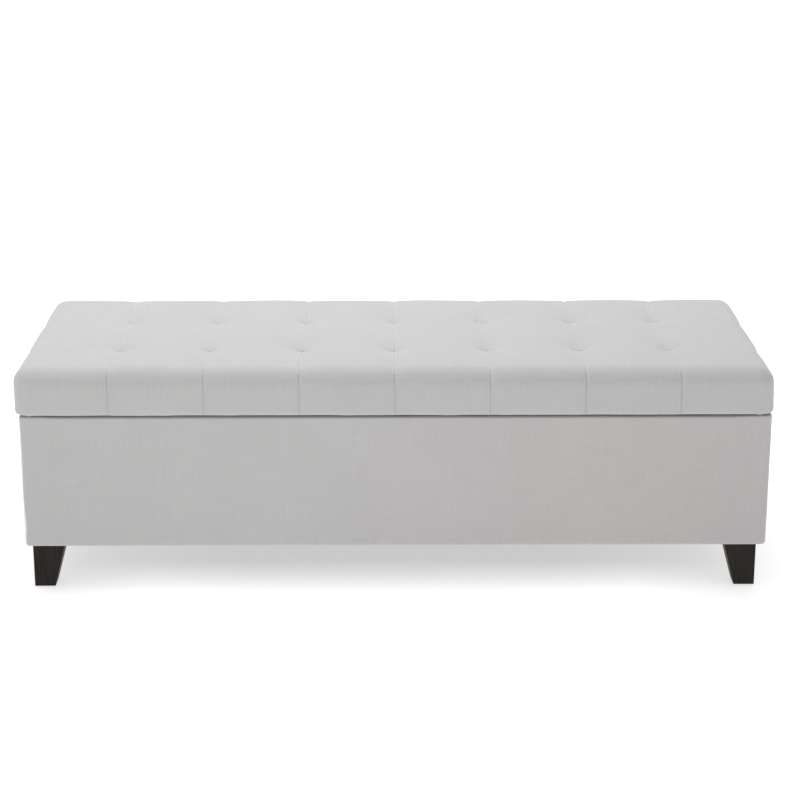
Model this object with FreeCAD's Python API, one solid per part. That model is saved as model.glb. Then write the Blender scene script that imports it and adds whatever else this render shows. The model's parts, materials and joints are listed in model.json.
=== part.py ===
import FreeCAD, Part
import math
import os

# Upholstered storage bench: a padded, fabric-covered box on four tapered legs, closed by a tufted
# lid that turns on three butt hinges along the rear edge and is held open by two gas struts.
# Frame: origin on the floor below the bench's centre, +X to the right, -Y to the front, +Z up.
# All sizes are in millimetres.

Vector = FreeCAD.Vector
X_AXIS, Y_AXIS, Z_AXIS = Vector(1, 0, 0), Vector(0, 1, 0), Vector(0, 0, 1)

# ---------------------------------------------------------------- driving dimensions
# overall
lid_width = 1290.0
lid_depth = 494.5
lid_height = 81.0
box_height = 234.0
leg_height = 80.0
side_overhang = 6.0          # lid past the box at each end
front_overhang = 6.0         # lid past the box at the front
lid_opening_angle = 85.0     # degrees

# upholstery layers
cover_thickness = 1.0
padding_thickness = 4.0
lining_thickness = 1.0
cover_lip_depth = 30.0       # cover turned down inside the box
cover_hem_width = 32.0       # cover turned in under the box
lid_hem_width = 40.0         # cover turned in under the lid
lid_corner_radius = 34.0
lid_edge_radius = 32.0
box_corner_radius = 10.0

# boards
panel_thickness = 15.0
floor_thickness = 9.0
cleat_size = 25.0
corner_block_size = 60.0
lid_board_thickness = 12.0
fit_gap = 0.5                # between a board and the opening that it drops into

# tufting
tuft_columns = 7
tuft_rows = 2
tuft_row_spacing = 0.38      # of the lid's depth
outer_tuft_shift = 9.0       # end columns' tufts drawn in towards the middle from their seams
tuft_depth = 8.0
tuft_top_radius = 30.0
tuft_bottom_radius = 5.0
tie_radius = 1.0
tie_washer_radius = 8.0
tie_washer_thickness = 1.0

# legs
leg_top_size = 56.0
leg_foot_size = 36.0
leg_setback = 13.0           # leg's outer faces in from the box's outer faces
leg_edge_radius = 2.0
glide_radius = 10.0
glide_thickness = 2.5
glide_edge = 0.6             # chamfer on the pad's foot edge
glide_nail_radius = 1.0
glide_nail_length = 15.0
bolt_radius = 4.0
bolt_depth_in_leg = 36.0
bolt_top_gap = 1.0           # bolt's top below the floor
tee_nut_flange_radius = 11.0
tee_nut_flange_thickness = 1.5
tee_nut_barrel_radius = 5.25
tee_nut_barrel_length = 13.5

# hinges
hinge_count = 3
hinge_length = 75.0
hinge_end_distance = 210.0   # outer hinges' centres in from the lid's ends
hinge_leaf_thickness = 1.2
hinge_leaf_play = 0.6        # between the folded leaves
hinge_leaf_reach = 22.0      # from the pin to the leaf's free edge
hinge_leaf_corner = 3.0
hinge_knuckles = 5
hinge_knuckle_radius = 3.5
hinge_knuckle_play = 0.3     # end play between knuckles
hinge_pin_radius = 1.5
hinge_screw_pitch = 26.0

# gas struts
tube_radius = 7.5
tube_wall = 1.0
tube_cap_thickness = 3.0
rod_radius = 3.0
piston_length = 8.0
piston_end_gap = 2.0         # piston short of the tube's cap when the lid is closed
rod_show = 5.0               # bare rod between the tube and the rod's eye when the lid is closed
gland_length = 11.0
eye_radius = 8.0
eye_width = 10.0
eye_neck_radius = 4.5
eye_neck_end = 14.0          # from the pivot to the end of the neck
rod_socket_depth = 8.0
stud_root = 1.0              # tube eye's stud starts this far inside the neck
strut_pin_radius = 4.0
strut_wall_clearance = 2.5   # open strut to the lining behind it
bracket_thickness = 2.0
bracket_length = 44.0
bracket_corner_radius = 4.0
bracket_standoff = 10.0
bracket_screw_pitch = 28.0
lid_bracket_screw_step = 3.5 # lid bracket's screws towards the middle from the strut's side
bracket_floor_gap = 1.0      # box bracket above the floor lining
bracket_wall_gap = 1.0       # box bracket in front of the back lining
lid_bracket_flange_width = 28.0
lid_bracket_ear_margin = 1.0 # ear past the strut's eye
ear_thickness = 2.5
lid_pivot_drop = 21.0        # strut pivot below the lid's underside
pin_shoulder = 2.0           # step between the box pin and its shoulder
pin_root = 1.0               # pin's root inside its bracket
clip_thickness = 0.9
clip_radius = 6.0
clip_mouth_grip = 0.4        # clip's mouth narrower than the groove, each side
pin_groove_depth = 0.8
pin_end_length = 1.5         # pin past its clip

# clearances
running_clearance = 0.08     # radial, pins in moving eyes and knuckles
sliding_clearance = 0.05     # radial, rod in gland
fixed_clearance = 0.04       # radial, pieces that are pressed, glued or screwed together
moving_gap = 0.5             # between parts that move past each other

past = 1.0                   # cutting tools reach this far past a face

# bumpers
bumper_radius = 5.0
bumper_clearance = 0.1

# ---------------------------------------------------------------- derived levels and faces
box_bottom = leg_height
rim_top = box_bottom + box_height
hinge_gap = 2 * hinge_leaf_thickness + hinge_leaf_play
lid_bottom = rim_top + hinge_gap
lid_top = lid_bottom + lid_height
lid_board_bottom = lid_bottom + cover_thickness
lid_board_top = lid_board_bottom + lid_board_thickness

# The lid's front and the hinge knuckles' back are equally far from the origin.
hinge_face_gap = moving_gap  # knuckle behind the rear faces
overall_depth = lid_depth + hinge_face_gap + 2 * hinge_knuckle_radius
lid_front = -overall_depth / 2
rear_face = lid_front + lid_depth
hinge_y = rear_face + hinge_face_gap + hinge_knuckle_radius
hinge_z = rim_top + hinge_gap / 2

box_half_width = lid_width / 2 - side_overhang
box_front = lid_front + front_overhang
panel_inset = cover_thickness + padding_thickness
cavity_inset = panel_inset + panel_thickness
lining_inset = cavity_inset + lining_thickness
panel_bottom = box_bottom + cover_thickness
panel_top = rim_top - cover_thickness
floor_bottom = panel_bottom + cleat_size
floor_top = floor_bottom + floor_thickness
floor_lining_top = floor_top + lining_thickness
tuft_floor = lid_top - tuft_depth


# ---------------------------------------------------------------- shape helpers
def block(x0, x1, y0, y1, z0, z1):
    """Axis-aligned box between two corners."""
    return Part.makeBox(x1 - x0, y1 - y0, z1 - z0, Vector(x0, y0, z0))


def rod(radius, start, end):
    """Cylinder between two points."""
    along = end - start
    return Part.makeCylinder(radius, along.Length, start, along)


def joined(shapes):
    """One solid from touching shapes."""
    whole = shapes[0].multiFuse(shapes[1:]) if len(shapes) > 1 else shapes[0]
    return whole.removeSplitter()


def slab(x0, x1, y0, y1, z0, z1, corner):
    """Upright block with rounded vertical edges."""
    shape = block(x0, x1, y0, y1, z0, z1)
    if corner <= 0:
        return shape
    upright = [e for e in shape.Edges if abs(e.tangentAt(e.FirstParameter).z) > 0.99]
    return shape.makeFillet(corner, upright)


def round_rim(shape, z, radius):
    """Rounds every edge that lies at height z."""
    level = [e for e in shape.Edges if e.BoundBox.ZLength < 1e-4]
    return shape.makeFillet(radius, [e for e in level if abs(e.BoundBox.ZMin - z) < 1e-4])


def frustum(x, y, z0, z1, r0, r1):
    """Upright cone with radius r0 at z0 and r1 at z1."""
    return Part.makeCone(r0, r1, z1 - z0, Vector(x, y, z0), Z_AXIS)


def cross_recess(point, direction, head_radius, head_height):
    """Cross-shaped socket in a screw's head."""
    reach, width = recess_reach * head_radius, recess_width / 2
    depth = recess_depth * head_height
    bars = [(reach, width), (width, reach)]
    cross = joined([block(-half_x, half_x, -half_y, half_y, -past, depth) for half_x, half_y in bars])
    cross.Placement = FreeCAD.Placement(point, FreeCAD.Rotation(Z_AXIS, direction))
    return cross


def screw(point, direction, length, shank_radius, head_radius, head_height, clearance=0.0):
    """Countersunk screw whose head's flat face is centred on point; with clearance, the hole for it."""
    head = Part.makeCone(head_radius + clearance, shank_radius + clearance, head_height, point, direction)
    shank = Part.makeCylinder(shank_radius + clearance, length + clearance, point, direction)
    if not clearance:
        return joined([shank, head]).cut(cross_recess(point, direction, head_radius, head_height))
    entry = Part.makeCylinder(head_radius + clearance, 2 * screw_sink, point, -direction)
    return joined([shank, head, entry])


def cut_all(shape, tools):
    """Shape with every tool taken away."""
    return shape.cut(tools) if tools else shape


def save(name, shape):
    """Writes one node; a list of shapes becomes a group of separate solids."""
    whole = Part.makeCompound(shape) if isinstance(shape, list) else shape
    whole.exportStep(os.path.join("parts", name + ".step"))


def spread(count, half_span):
    """Places of count evenly spaced items from -half_span to half_span."""
    if count == 1:
        return [0.0]
    return [-half_span + 2 * half_span * i / (count - 1) for i in range(count)]


# ---------------------------------------------------------------- outlines shared by layers
def box_slab(inset, z0, z1):
    """Slab with the box's outline, moved in by inset on every side."""
    half = box_half_width - inset
    corner = max(box_corner_radius - inset, 0)
    return slab(-half, half, box_front + inset, rear_face - inset, z0, z1, corner)


def lid_slab(inset, z0, z1):
    """Slab with the lid's outline, moved in by inset on every side."""
    half = lid_width / 2 - inset
    corner = max(lid_corner_radius - inset, 0)
    return slab(-half, half, lid_front + inset, rear_face - inset, z0, z1, corner)


def tuft_places():
    """Centres of the tufts, in columns on the seams that divide the lid's top into equal panels."""
    pitch_x = lid_width / (tuft_columns + 1)
    pitch_y = tuft_row_spacing * lid_depth
    middle = (lid_front + rear_face) / 2
    xs = spread(tuft_columns, pitch_x * (tuft_columns - 1) / 2)
    xs[0] += outer_tuft_shift
    xs[-1] -= outer_tuft_shift
    ys = [middle + y for y in spread(tuft_rows, pitch_y * (tuft_rows - 1) / 2)]
    return [(x, y) for y in ys for x in xs]


# ---------------------------------------------------------------- fasteners' places
lid_screw_bite = 0.8         # of the lid board's thickness
panel_screw_bite = 0.75      # of the panel's thickness
panel_screw = dict(length=50.0, shank_radius=2.5, head_radius=4.5, head_height=3.0)
floor_screw = dict(length=28.0, shank_radius=1.75, head_radius=3.5, head_height=2.0)
hinge_box_screw = dict(length=20.0, shank_radius=1.75, head_radius=3.0, head_height=hinge_leaf_thickness)
hinge_lid_screw = dict(
    length=hinge_leaf_thickness + cover_thickness + lid_screw_bite * lid_board_thickness,
    shank_radius=1.75, head_radius=3.0, head_height=hinge_leaf_thickness)
box_bracket_screw = dict(
    length=bracket_thickness + lining_thickness + panel_screw_bite * panel_thickness,
    shank_radius=2.0, head_radius=3.8, head_height=bracket_thickness)
lid_bracket_screw = dict(
    length=bracket_thickness + cover_thickness + lid_screw_bite * lid_board_thickness,
    shank_radius=2.0, head_radius=3.8, head_height=bracket_thickness)
recess_reach = 0.55          # of the head's radius
recess_depth = 0.7           # of the head's height
recess_width = 0.8
screw_sink = 1.0             # panel screws' heads below the wood, clear of its rounded corners
panel_screws_per_corner = 3
panel_screw_end_distance = 30.0
floor_screws_per_cleat = 5


def panel_screw_seats():
    """Screws through the front and back panels into the ends of the side panels."""
    x = box_half_width - panel_inset - panel_thickness / 2
    reach = (panel_top - panel_bottom) / 2 - panel_screw_end_distance
    middle = (panel_top + panel_bottom) / 2
    seats = []
    for side in (-1, 1):
        for dz in spread(panel_screws_per_corner, reach):
            seats.append((Vector(side * x, box_front + panel_inset + screw_sink, middle + dz), Y_AXIS))
            seats.append((Vector(side * x, rear_face - panel_inset - screw_sink, middle + dz), -Y_AXIS))
    return seats


def cleat_half_length():
    """Half the length of the front and back cleats, which end at the corner blocks."""
    return box_half_width - cavity_inset - corner_block_size


def floor_screw_seats():
    """Screws down through the floor into the front and back cleats."""
    seats = []
    for y in (box_front + cavity_inset + cleat_size / 2, rear_face - cavity_inset - cleat_size / 2):
        for x in spread(floor_screws_per_cleat, cleat_half_length() - 2 * cleat_size):
            seats.append((Vector(x, y, floor_top), -Z_AXIS))
    return seats


def hinge_centres():
    """X of each hinge's centre."""
    return spread(hinge_count, lid_width / 2 - hinge_end_distance)


hinge_screw_y = rear_face - panel_inset - panel_thickness / 2
leaf_underside = hinge_z + hinge_leaf_play / 2       # of the lid's leaf
leaf_topside = hinge_z - hinge_leaf_play / 2         # of the box's leaf


def hinge_screw_xs(centre):
    return [centre + dx for dx in (-hinge_screw_pitch, 0.0, hinge_screw_pitch)]


def hinge_box_seats(centre):
    return [(Vector(x, hinge_screw_y, leaf_topside), -Z_AXIS) for x in hinge_screw_xs(centre)]


def hinge_lid_seats(centre):
    return [(Vector(x, hinge_screw_y, leaf_underside), Z_AXIS) for x in hinge_screw_xs(centre)]


# ---------------------------------------------------------------- gas strut geometry
# Both strut pivots are equally far from the hinge pin, so the strut turns at exactly half the lid's
# angle about either pivot, and the tube and the rod stay on one line through the whole travel.
lining_back_face = rear_face - lining_inset
strut_offset_open = hinge_y - lining_back_face + tube_radius + strut_wall_clearance
lowest_box_pivot_z = floor_lining_top + bracket_floor_gap + bracket_length / 2
box_pivot_drop = hinge_z - lowest_box_pivot_z
shortest_radius_ratio = 1.3  # pivot radius to strut_offset_open, at least
lid_pivot_below_hinge = lid_pivot_drop - (lid_bottom - hinge_z)


def pivot_angles(radius):
    """Angles in radians at the hinge: lid pivot below level, and the two pivots apart when closed."""
    lid_angle = math.asin(lid_pivot_below_hinge / radius)
    open_apart = 2 * math.acos(strut_offset_open / radius)
    return lid_angle, open_apart - math.radians(lid_opening_angle)


def radius_is_too_long(radius):
    """True if the box pivot would be too low, or the open strut would lean back past upright."""
    lid_angle, apart = pivot_angles(radius)
    too_low = radius * math.sin(min(lid_angle + apart, math.pi / 2)) > box_pivot_drop
    leans_back = 2 * lid_angle + apart > math.radians(lid_opening_angle)
    return too_low or leans_back


def strut_pivot_radius():
    """Longest radius that suits both pivots, by bisection."""
    low, high = strut_offset_open * shortest_radius_ratio, strut_offset_open + 2 * box_pivot_drop
    for _ in range(60):
        middle = (low + high) / 2
        if radius_is_too_long(middle):
            high = middle
        else:
            low = middle
    return low


pivot_radius = strut_pivot_radius()
lid_pivot_angle, closed_apart = pivot_angles(pivot_radius)
box_pivot_angle = lid_pivot_angle + closed_apart
lid_pivot_y = hinge_y - pivot_radius * math.cos(lid_pivot_angle)
lid_pivot_z = hinge_z - pivot_radius * math.sin(lid_pivot_angle)
box_pivot_y = hinge_y - pivot_radius * math.cos(box_pivot_angle)
box_pivot_z = hinge_z - pivot_radius * math.sin(box_pivot_angle)
strut_closed = 2 * pivot_radius * math.sin(closed_apart / 2)
strut_open = 2 * pivot_radius * math.sin((closed_apart + math.radians(lid_opening_angle)) / 2)

# Places along the closed strut, measured from the lid pivot towards the box pivot.
tube_start = eye_neck_end
tube_end = strut_closed - eye_neck_end - rod_show
rod_end = strut_closed - eye_neck_end + rod_socket_depth
piston_start = tube_start + tube_cap_thickness + piston_end_gap
stroke_room = (tube_end - gland_length) - (piston_start + piston_length)

lining_half_width = box_half_width - lining_inset
strut_x = lining_half_width - bracket_thickness - bracket_standoff - moving_gap - eye_width / 2
strut_line = Vector(0, box_pivot_y - lid_pivot_y, box_pivot_z - lid_pivot_z).normalize()
pin_groove_start = eye_width / 2 + moving_gap        # from the strut's plane towards the middle
pin_tip = pin_groove_start + clip_thickness + 2 * fixed_clearance + pin_end_length


def on_strut(side, distance):
    """Point on a strut's axis, at a distance from the lid pivot."""
    return Vector(side * strut_x, lid_pivot_y, lid_pivot_z) + strut_line * distance


def lid_bracket_seats(side):
    x = side * (strut_x - eye_width / 2 - moving_gap - lid_bracket_screw_step)
    return [(Vector(x, lid_pivot_y + dy, lid_bottom - bracket_thickness), Z_AXIS)
            for dy in (-bracket_screw_pitch / 2, bracket_screw_pitch / 2)]


def box_bracket_seats(side):
    x = side * (lining_half_width - bracket_thickness)
    return [(Vector(x, box_pivot_y, box_pivot_z + dz), X_AXIS * side)
            for dz in (-bracket_screw_pitch / 2, bracket_screw_pitch / 2)]


# ---------------------------------------------------------------- leg places
CORNERS = {"front_left": (-1, -1), "front_right": (1, -1), "back_left": (-1, 1), "back_right": (1, 1)}


def leg_outer_corner(sx, sy):
    """Plan position of a leg's outer corner."""
    y = box_front + leg_setback if sy < 0 else rear_face - leg_setback
    return sx * (box_half_width - leg_setback), y


def leg_bolt_centre(sx, sy):
    x, y = leg_outer_corner(sx, sy)
    return x - sx * leg_top_size / 2, y - sy * leg_top_size / 2


def glide_centre(sx, sy):
    x, y = leg_outer_corner(sx, sy)
    return x - sx * leg_foot_size / 2, y - sy * leg_foot_size / 2


def bolt_holes(z0, z1, radius):
    """Upright holes on the axes of the four hanger bolts."""
    return [rod(radius, Vector(*leg_bolt_centre(sx, sy), z0), Vector(*leg_bolt_centre(sx, sy), z1))
            for sx, sy in CORNERS.values()]


# ---------------------------------------------------------------- box: boards
def voids(seats, sizes):
    """Holes for a row of screws."""
    return [screw(p, d, clearance=fixed_clearance, **sizes) for p, d in seats]


def shell_ring(z0, z1):
    """The four panels as one ring, with the outer corners eased to suit the padding."""
    return box_slab(panel_inset, z0, z1).cut(box_slab(cavity_inset, z0 - past, z1 + past))


def make_panels():
    half = box_half_width - panel_inset
    inner_half = box_half_width - cavity_inset
    front_inner, back_inner = box_front + cavity_inset, rear_face - cavity_inset
    ring = shell_ring(panel_bottom, panel_top)
    holes = voids(panel_screw_seats(), panel_screw)
    hinge_holes = [v for c in hinge_centres() for v in voids(hinge_box_seats(c), hinge_box_screw)]
    front = ring.common(block(-half - past, half + past, box_front, front_inner, 0, rim_top))
    back = ring.common(block(-half - past, half + past, back_inner, rear_face, 0, rim_top))
    save("front_panel", cut_all(front, holes))
    save("back_panel", cut_all(back, holes + hinge_holes))
    for name, side in (("left_side_panel", -1), ("right_side_panel", 1)):
        x0, x1 = sorted((side * inner_half, side * half))
        panel = block(x0, x1, front_inner, back_inner, panel_bottom, panel_top)
        save(name, cut_all(panel, holes + voids(box_bracket_seats(side), box_bracket_screw)))


def make_floor():
    half = box_half_width - cavity_inset - fit_gap
    front, back = box_front + cavity_inset + fit_gap, rear_face - cavity_inset - fit_gap
    floor = block(-half, half, front, back, floor_bottom, floor_top)
    holes = voids(floor_screw_seats(), floor_screw)
    save("floor_panel", cut_all(floor, holes))
    half = cleat_half_length()
    y0 = box_front + cavity_inset
    y1 = rear_face - cavity_inset - cleat_size
    for name, y in (("front_floor_cleat", y0), ("back_floor_cleat", y1)):
        save(name, cut_all(block(-half, half, y, y + cleat_size, panel_bottom, floor_bottom), holes))


def make_corner_blocks():
    """Blocks inside the corners, bored for the leg bolts and the tee nuts."""
    seat = floor_bottom - tee_nut_flange_thickness - fixed_clearance
    barrel = seat - tee_nut_barrel_length
    tools = bolt_holes(panel_bottom - past, floor_bottom + past, bolt_radius + 2 * fixed_clearance)
    tools += bolt_holes(barrel, floor_bottom, tee_nut_barrel_radius + fixed_clearance)
    tools += bolt_holes(seat, floor_bottom + past, tee_nut_flange_radius + fixed_clearance)
    for name, (sx, sy) in CORNERS.items():
        outer_x = sx * (box_half_width - cavity_inset)
        outer_y = box_front + cavity_inset if sy < 0 else rear_face - cavity_inset
        x0, x1 = sorted((outer_x, outer_x - sx * corner_block_size))
        y0, y1 = sorted((outer_y, outer_y - sy * corner_block_size))
        save(name + "_corner_block", cut_all(block(x0, x1, y0, y1, panel_bottom, floor_bottom), tools))


# ---------------------------------------------------------------- box: soft layers
def make_box_padding():
    outer = round_rim(box_slab(cover_thickness, panel_bottom, panel_top), panel_top, padding_thickness)
    outer = round_rim(outer, panel_bottom, padding_thickness)
    save("box_padding", outer.cut(box_slab(panel_inset, panel_bottom - past, panel_top + past)))


def make_box_cover():
    """Fabric sleeve over the padding: over the rim into a lip inside, and in under the box as a hem."""
    wrap = cover_thickness + padding_thickness
    outer = round_rim(box_slab(0, box_bottom, rim_top), rim_top, wrap)
    outer = round_rim(outer, box_bottom, wrap)
    inner = round_rim(box_slab(cover_thickness, panel_bottom, panel_top), panel_top, padding_thickness)
    inner = round_rim(inner, panel_bottom, padding_thickness)
    core = box_slab(cavity_inset, panel_top - cover_lip_depth, rim_top + past)
    hem_opening = box_slab(cover_hem_width, box_bottom - past, panel_bottom + past)
    skin = outer.cut([inner, core, hem_opening])
    lip = core.common(block(-lid_width, lid_width, lid_front, rear_face, 0, rim_top))
    lip = lip.cut(box_slab(lining_inset, 0, rim_top + past))
    cover = joined([skin, lip])
    holes = [v for c in hinge_centres() for v in voids(hinge_box_seats(c), hinge_box_screw)]
    holes += bolt_holes(0, box_bottom + 2 * cover_thickness, bolt_radius + 2 * fixed_clearance)
    save("box_cover", cut_all(cover, holes))


def make_linings():
    lip_bottom = panel_top - cover_lip_depth
    walls = box_slab(cavity_inset, floor_top, lip_bottom).cut(box_slab(lining_inset, 0, rim_top))
    holes = [v for side in (-1, 1) for v in voids(box_bracket_seats(side), box_bracket_screw)]
    save("wall_lining", cut_all(walls, holes))
    save("floor_lining", box_slab(lining_inset + fixed_clearance, floor_top, floor_lining_top))
    dust = box_slab(cover_hem_width + fit_gap, box_bottom, panel_bottom)
    tools = bolt_holes(0, panel_bottom + past, bolt_radius + 2 * fixed_clearance)
    save("box_dust_cover", cut_all(dust, tools))


# ---------------------------------------------------------------- legs
def tapered_leg(sx, sy):
    """Square leg: its two outer faces are upright and its two inner faces taper to the foot."""
    x, y = leg_outer_corner(sx, sy)

    def outline(size, z):
        corners = [(x, y), (x - sx * size, y), (x - sx * size, y - sy * size), (x, y - sy * size)]
        return Part.makePolygon([Vector(cx, cy, z) for cx, cy in corners + corners[:1]])

    ends = [outline(leg_foot_size, glide_thickness), outline(leg_top_size, leg_height)]
    body = Part.makeLoft(ends, True, True)
    sloping = [e for e in body.Edges if e.BoundBox.ZLength > leg_height / 2]
    return body.makeFillet(leg_edge_radius, sloping)


def glide(sx, sy, clearance=0.0):
    """Round foot pad with its nail; with clearance, the hole for the nail."""
    x, y = glide_centre(sx, sy)
    top = glide_thickness + glide_nail_length
    nail = rod(glide_nail_radius + clearance, Vector(x, y, 0), Vector(x, y, top + clearance))
    if clearance:
        return nail
    pad = Part.makeCylinder(glide_radius, glide_thickness, Vector(x, y, 0), Z_AXIS)
    rim = [e for e in pad.Edges if e.BoundBox.ZMax < 0.01]
    return joined([pad.makeChamfer(glide_edge, rim), nail])


def make_legs():
    bolt_bottom = leg_height - bolt_depth_in_leg
    bolt_top = floor_bottom - bolt_top_gap
    tools = bolt_holes(bolt_bottom - past, leg_height + past, bolt_radius + fixed_clearance)
    for name, (sx, sy) in CORNERS.items():
        save(name + "_leg", cut_all(tapered_leg(sx, sy), tools + [glide(sx, sy, fixed_clearance)]))
    save("leg_glides", [glide(sx, sy) for sx, sy in CORNERS.values()])
    bolts = bolt_holes(bolt_bottom, bolt_top, bolt_radius)
    save("leg_hanger_bolts", bolts)
    flange_bottom = floor_bottom - tee_nut_flange_thickness
    nuts = []
    for sx, sy in CORNERS.values():
        centre = Vector(*leg_bolt_centre(sx, sy), flange_bottom)
        flange = Part.makeCylinder(tee_nut_flange_radius, tee_nut_flange_thickness, centre, Z_AXIS)
        barrel = Part.makeCylinder(tee_nut_barrel_radius, tee_nut_barrel_length, centre, -Z_AXIS)
        bore = bolt_holes(0, rim_top, bolt_radius + fixed_clearance)
        nuts.append(joined([flange, barrel]).cut(bore))
    save("leg_tee_nuts", nuts)


# ---------------------------------------------------------------- lid
def lid_board_slab():
    return lid_slab(panel_inset, lid_board_bottom, lid_board_top)


def dimples(drop):
    """Hollows of the tufts, lowered by drop to follow the layer underneath."""
    tools = []
    for x, y in tuft_places():
        z0 = tuft_floor - drop
        tools.append(frustum(x, y, z0, lid_top - drop, tuft_bottom_radius, tuft_top_radius))
        tools.append(rod(tuft_top_radius, Vector(x, y, lid_top - drop), Vector(x, y, lid_top + past)))
    return tools


def foam_outer():
    """Outer shape of the lid's foam, which is also the inside of its cover."""
    shape = lid_slab(cover_thickness, lid_board_bottom, lid_top - cover_thickness)
    shape = round_rim(shape, lid_top - cover_thickness, lid_edge_radius - cover_thickness)
    shape = round_rim(shape, lid_board_bottom, padding_thickness)
    return cut_all(shape, dimples(cover_thickness))


def tie_holes(radius, z0, z1):
    return [rod(radius, Vector(x, y, z0), Vector(x, y, z1)) for x, y in tuft_places()]


def make_lid():
    foam = foam_outer()
    outer = round_rim(lid_slab(0, lid_bottom, lid_top), lid_top, lid_edge_radius)
    outer = round_rim(outer, lid_bottom, cover_thickness + padding_thickness)
    outer = cut_all(outer, dimples(0))
    hem_opening = lid_slab(lid_hem_width, lid_bottom - past, lid_board_bottom + past)
    hinge_holes = [v for c in hinge_centres() for v in voids(hinge_lid_seats(c), hinge_lid_screw)]
    bracket_holes = [v for side in (-1, 1) for v in voids(lid_bracket_seats(side), lid_bracket_screw)]
    save("lid_cover", cut_all(outer, [foam, hem_opening] + hinge_holes))

    ties = tie_holes(tie_radius + fixed_clearance, lid_bottom, lid_top)
    washer_top = lid_board_bottom + tie_washer_thickness
    washers = tie_holes(tie_washer_radius + fixed_clearance, lid_bottom, washer_top)
    board = cut_all(lid_board_slab(), ties + washers + hinge_holes + bracket_holes)
    save("lid_board", board)
    save("lid_foam", cut_all(foam, [lid_board_slab()] + ties))
    dust = lid_slab(lid_hem_width + fit_gap, lid_bottom, lid_board_bottom)
    save("lid_dust_cover", cut_all(dust, bracket_holes))
    save("tuft_ties", tie_holes(tie_radius, washer_top, tuft_floor - cover_thickness))
    save("tuft_washers", tie_holes(tie_washer_radius, lid_board_bottom, washer_top))


def make_bumpers():
    """Two pads on the front rim that the lid closes on."""
    inset = cavity_inset / 2
    x, y = box_half_width - box_corner_radius - inset, box_front + inset
    top = lid_bottom - bumper_clearance
    pads = [rod(bumper_radius, Vector(side * x, y, rim_top), Vector(side * x, y, top)) for side in (-1, 1)]
    save("rim_bumpers", pads)


# ---------------------------------------------------------------- hinges
def knuckle_span(centre, index):
    """Start and end in X of one knuckle's share of the hinge."""
    pitch = hinge_length / hinge_knuckles
    start = centre - hinge_length / 2 + pitch * index
    return start, start + pitch


def hinge_leaf(centre, own, z0, z1, bore_radius, seats, sizes):
    """One leaf with its knuckles; own lists the indices of the knuckles that belong to it."""
    half = hinge_length / 2
    plate = block(centre - half, centre + half, hinge_y - hinge_leaf_reach, hinge_y, z0, z1)
    upright = [e for e in plate.Edges if e.BoundBox.ZLength > (z1 - z0) / 2]
    free_corners = [e for e in upright if e.BoundBox.YMax < hinge_y]
    plate = plate.makeFillet(hinge_leaf_corner, free_corners)
    notches, barrels = [], []
    play = hinge_knuckle_play / 2
    for index in range(hinge_knuckles):
        x0, x1 = knuckle_span(centre, index)
        if index in own:
            barrels.append(rod(hinge_knuckle_radius, Vector(x0 + play, hinge_y, hinge_z),
                               Vector(x1 - play, hinge_y, hinge_z)))
        else:
            back = hinge_y - hinge_knuckle_radius - hinge_face_gap
            notches.append(block(x0 - play, x1 + play, back, hinge_y + past, z0 - past, z1 + past))
    ends = [(centre - half - past, centre - half + play), (centre + half - play, centre + half + past)]
    bore = rod(bore_radius, Vector(ends[0][0], hinge_y, hinge_z), Vector(ends[1][1], hinge_y, hinge_z))
    end_trims = [block(x0, x1, hinge_y - hinge_knuckle_radius, hinge_y + past, z0 - past, z1 + past)
                 for x0, x1 in ends]
    leaf = joined([cut_all(plate, notches + end_trims)] + barrels)
    return cut_all(leaf, [bore] + voids(seats, sizes))


def make_hinges():
    names = ["left", "centre", "right"] if hinge_count == 3 else [str(i + 1) for i in range(hinge_count)]
    box_knuckles = [i for i in range(hinge_knuckles) if i % 2 == 0]
    lid_knuckles = [i for i in range(hinge_knuckles) if i % 2 == 1]
    fixed_bore = hinge_pin_radius + fixed_clearance / 2
    running_bore = hinge_pin_radius + running_clearance
    box_screws, lid_screws, pins = [], [], []
    for name, centre in zip(names, hinge_centres()):
        box_leaf = hinge_leaf(centre, box_knuckles, rim_top, leaf_topside, fixed_bore,
                              hinge_box_seats(centre), hinge_box_screw)
        lid_leaf = hinge_leaf(centre, lid_knuckles, leaf_underside, lid_bottom, running_bore,
                              hinge_lid_seats(centre), hinge_lid_screw)
        save(name + "_hinge_box_leaf", box_leaf)
        save(name + "_hinge_lid_leaf", lid_leaf)
        box_screws += [screw(p, d, **hinge_box_screw) for p, d in hinge_box_seats(centre)]
        lid_screws += [screw(p, d, **hinge_lid_screw) for p, d in hinge_lid_seats(centre)]
        half = hinge_length / 2
        pin_ends = [Vector(centre + end, hinge_y, hinge_z) for end in (-half, half)]
        pins.append(rod(hinge_pin_radius, *pin_ends))
    save("hinge_box_screws", box_screws)
    save("hinge_lid_screws", lid_screws)
    save("hinge_pins", pins)


# ---------------------------------------------------------------- gas struts
def eye_fitting(side, distance, towards, stub):
    """Eye round a pivot pin with a round neck; stub is a stud that fills a socket, or a socket's depth."""
    centre = on_strut(side, distance)
    across = X_AXIS * (eye_width / 2)
    ring = rod(eye_radius, centre - across, centre + across)
    neck = rod(eye_neck_radius, centre, centre + towards * eye_neck_end)
    eye = joined([ring, neck])
    if stub > 0:
        stud_start = centre + towards * (eye_neck_end - stud_root)
        eye = joined([eye, rod(rod_radius, stud_start, centre + towards * (eye_neck_end + stub))])
    else:
        mouth = centre + towards * eye_neck_end
        eye = eye.cut(rod(rod_radius + fixed_clearance, mouth + towards * stub, mouth + towards))
    bore = rod(strut_pin_radius + running_clearance, centre - across * 2, centre + across * 2)
    return eye.cut(bore)


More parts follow.
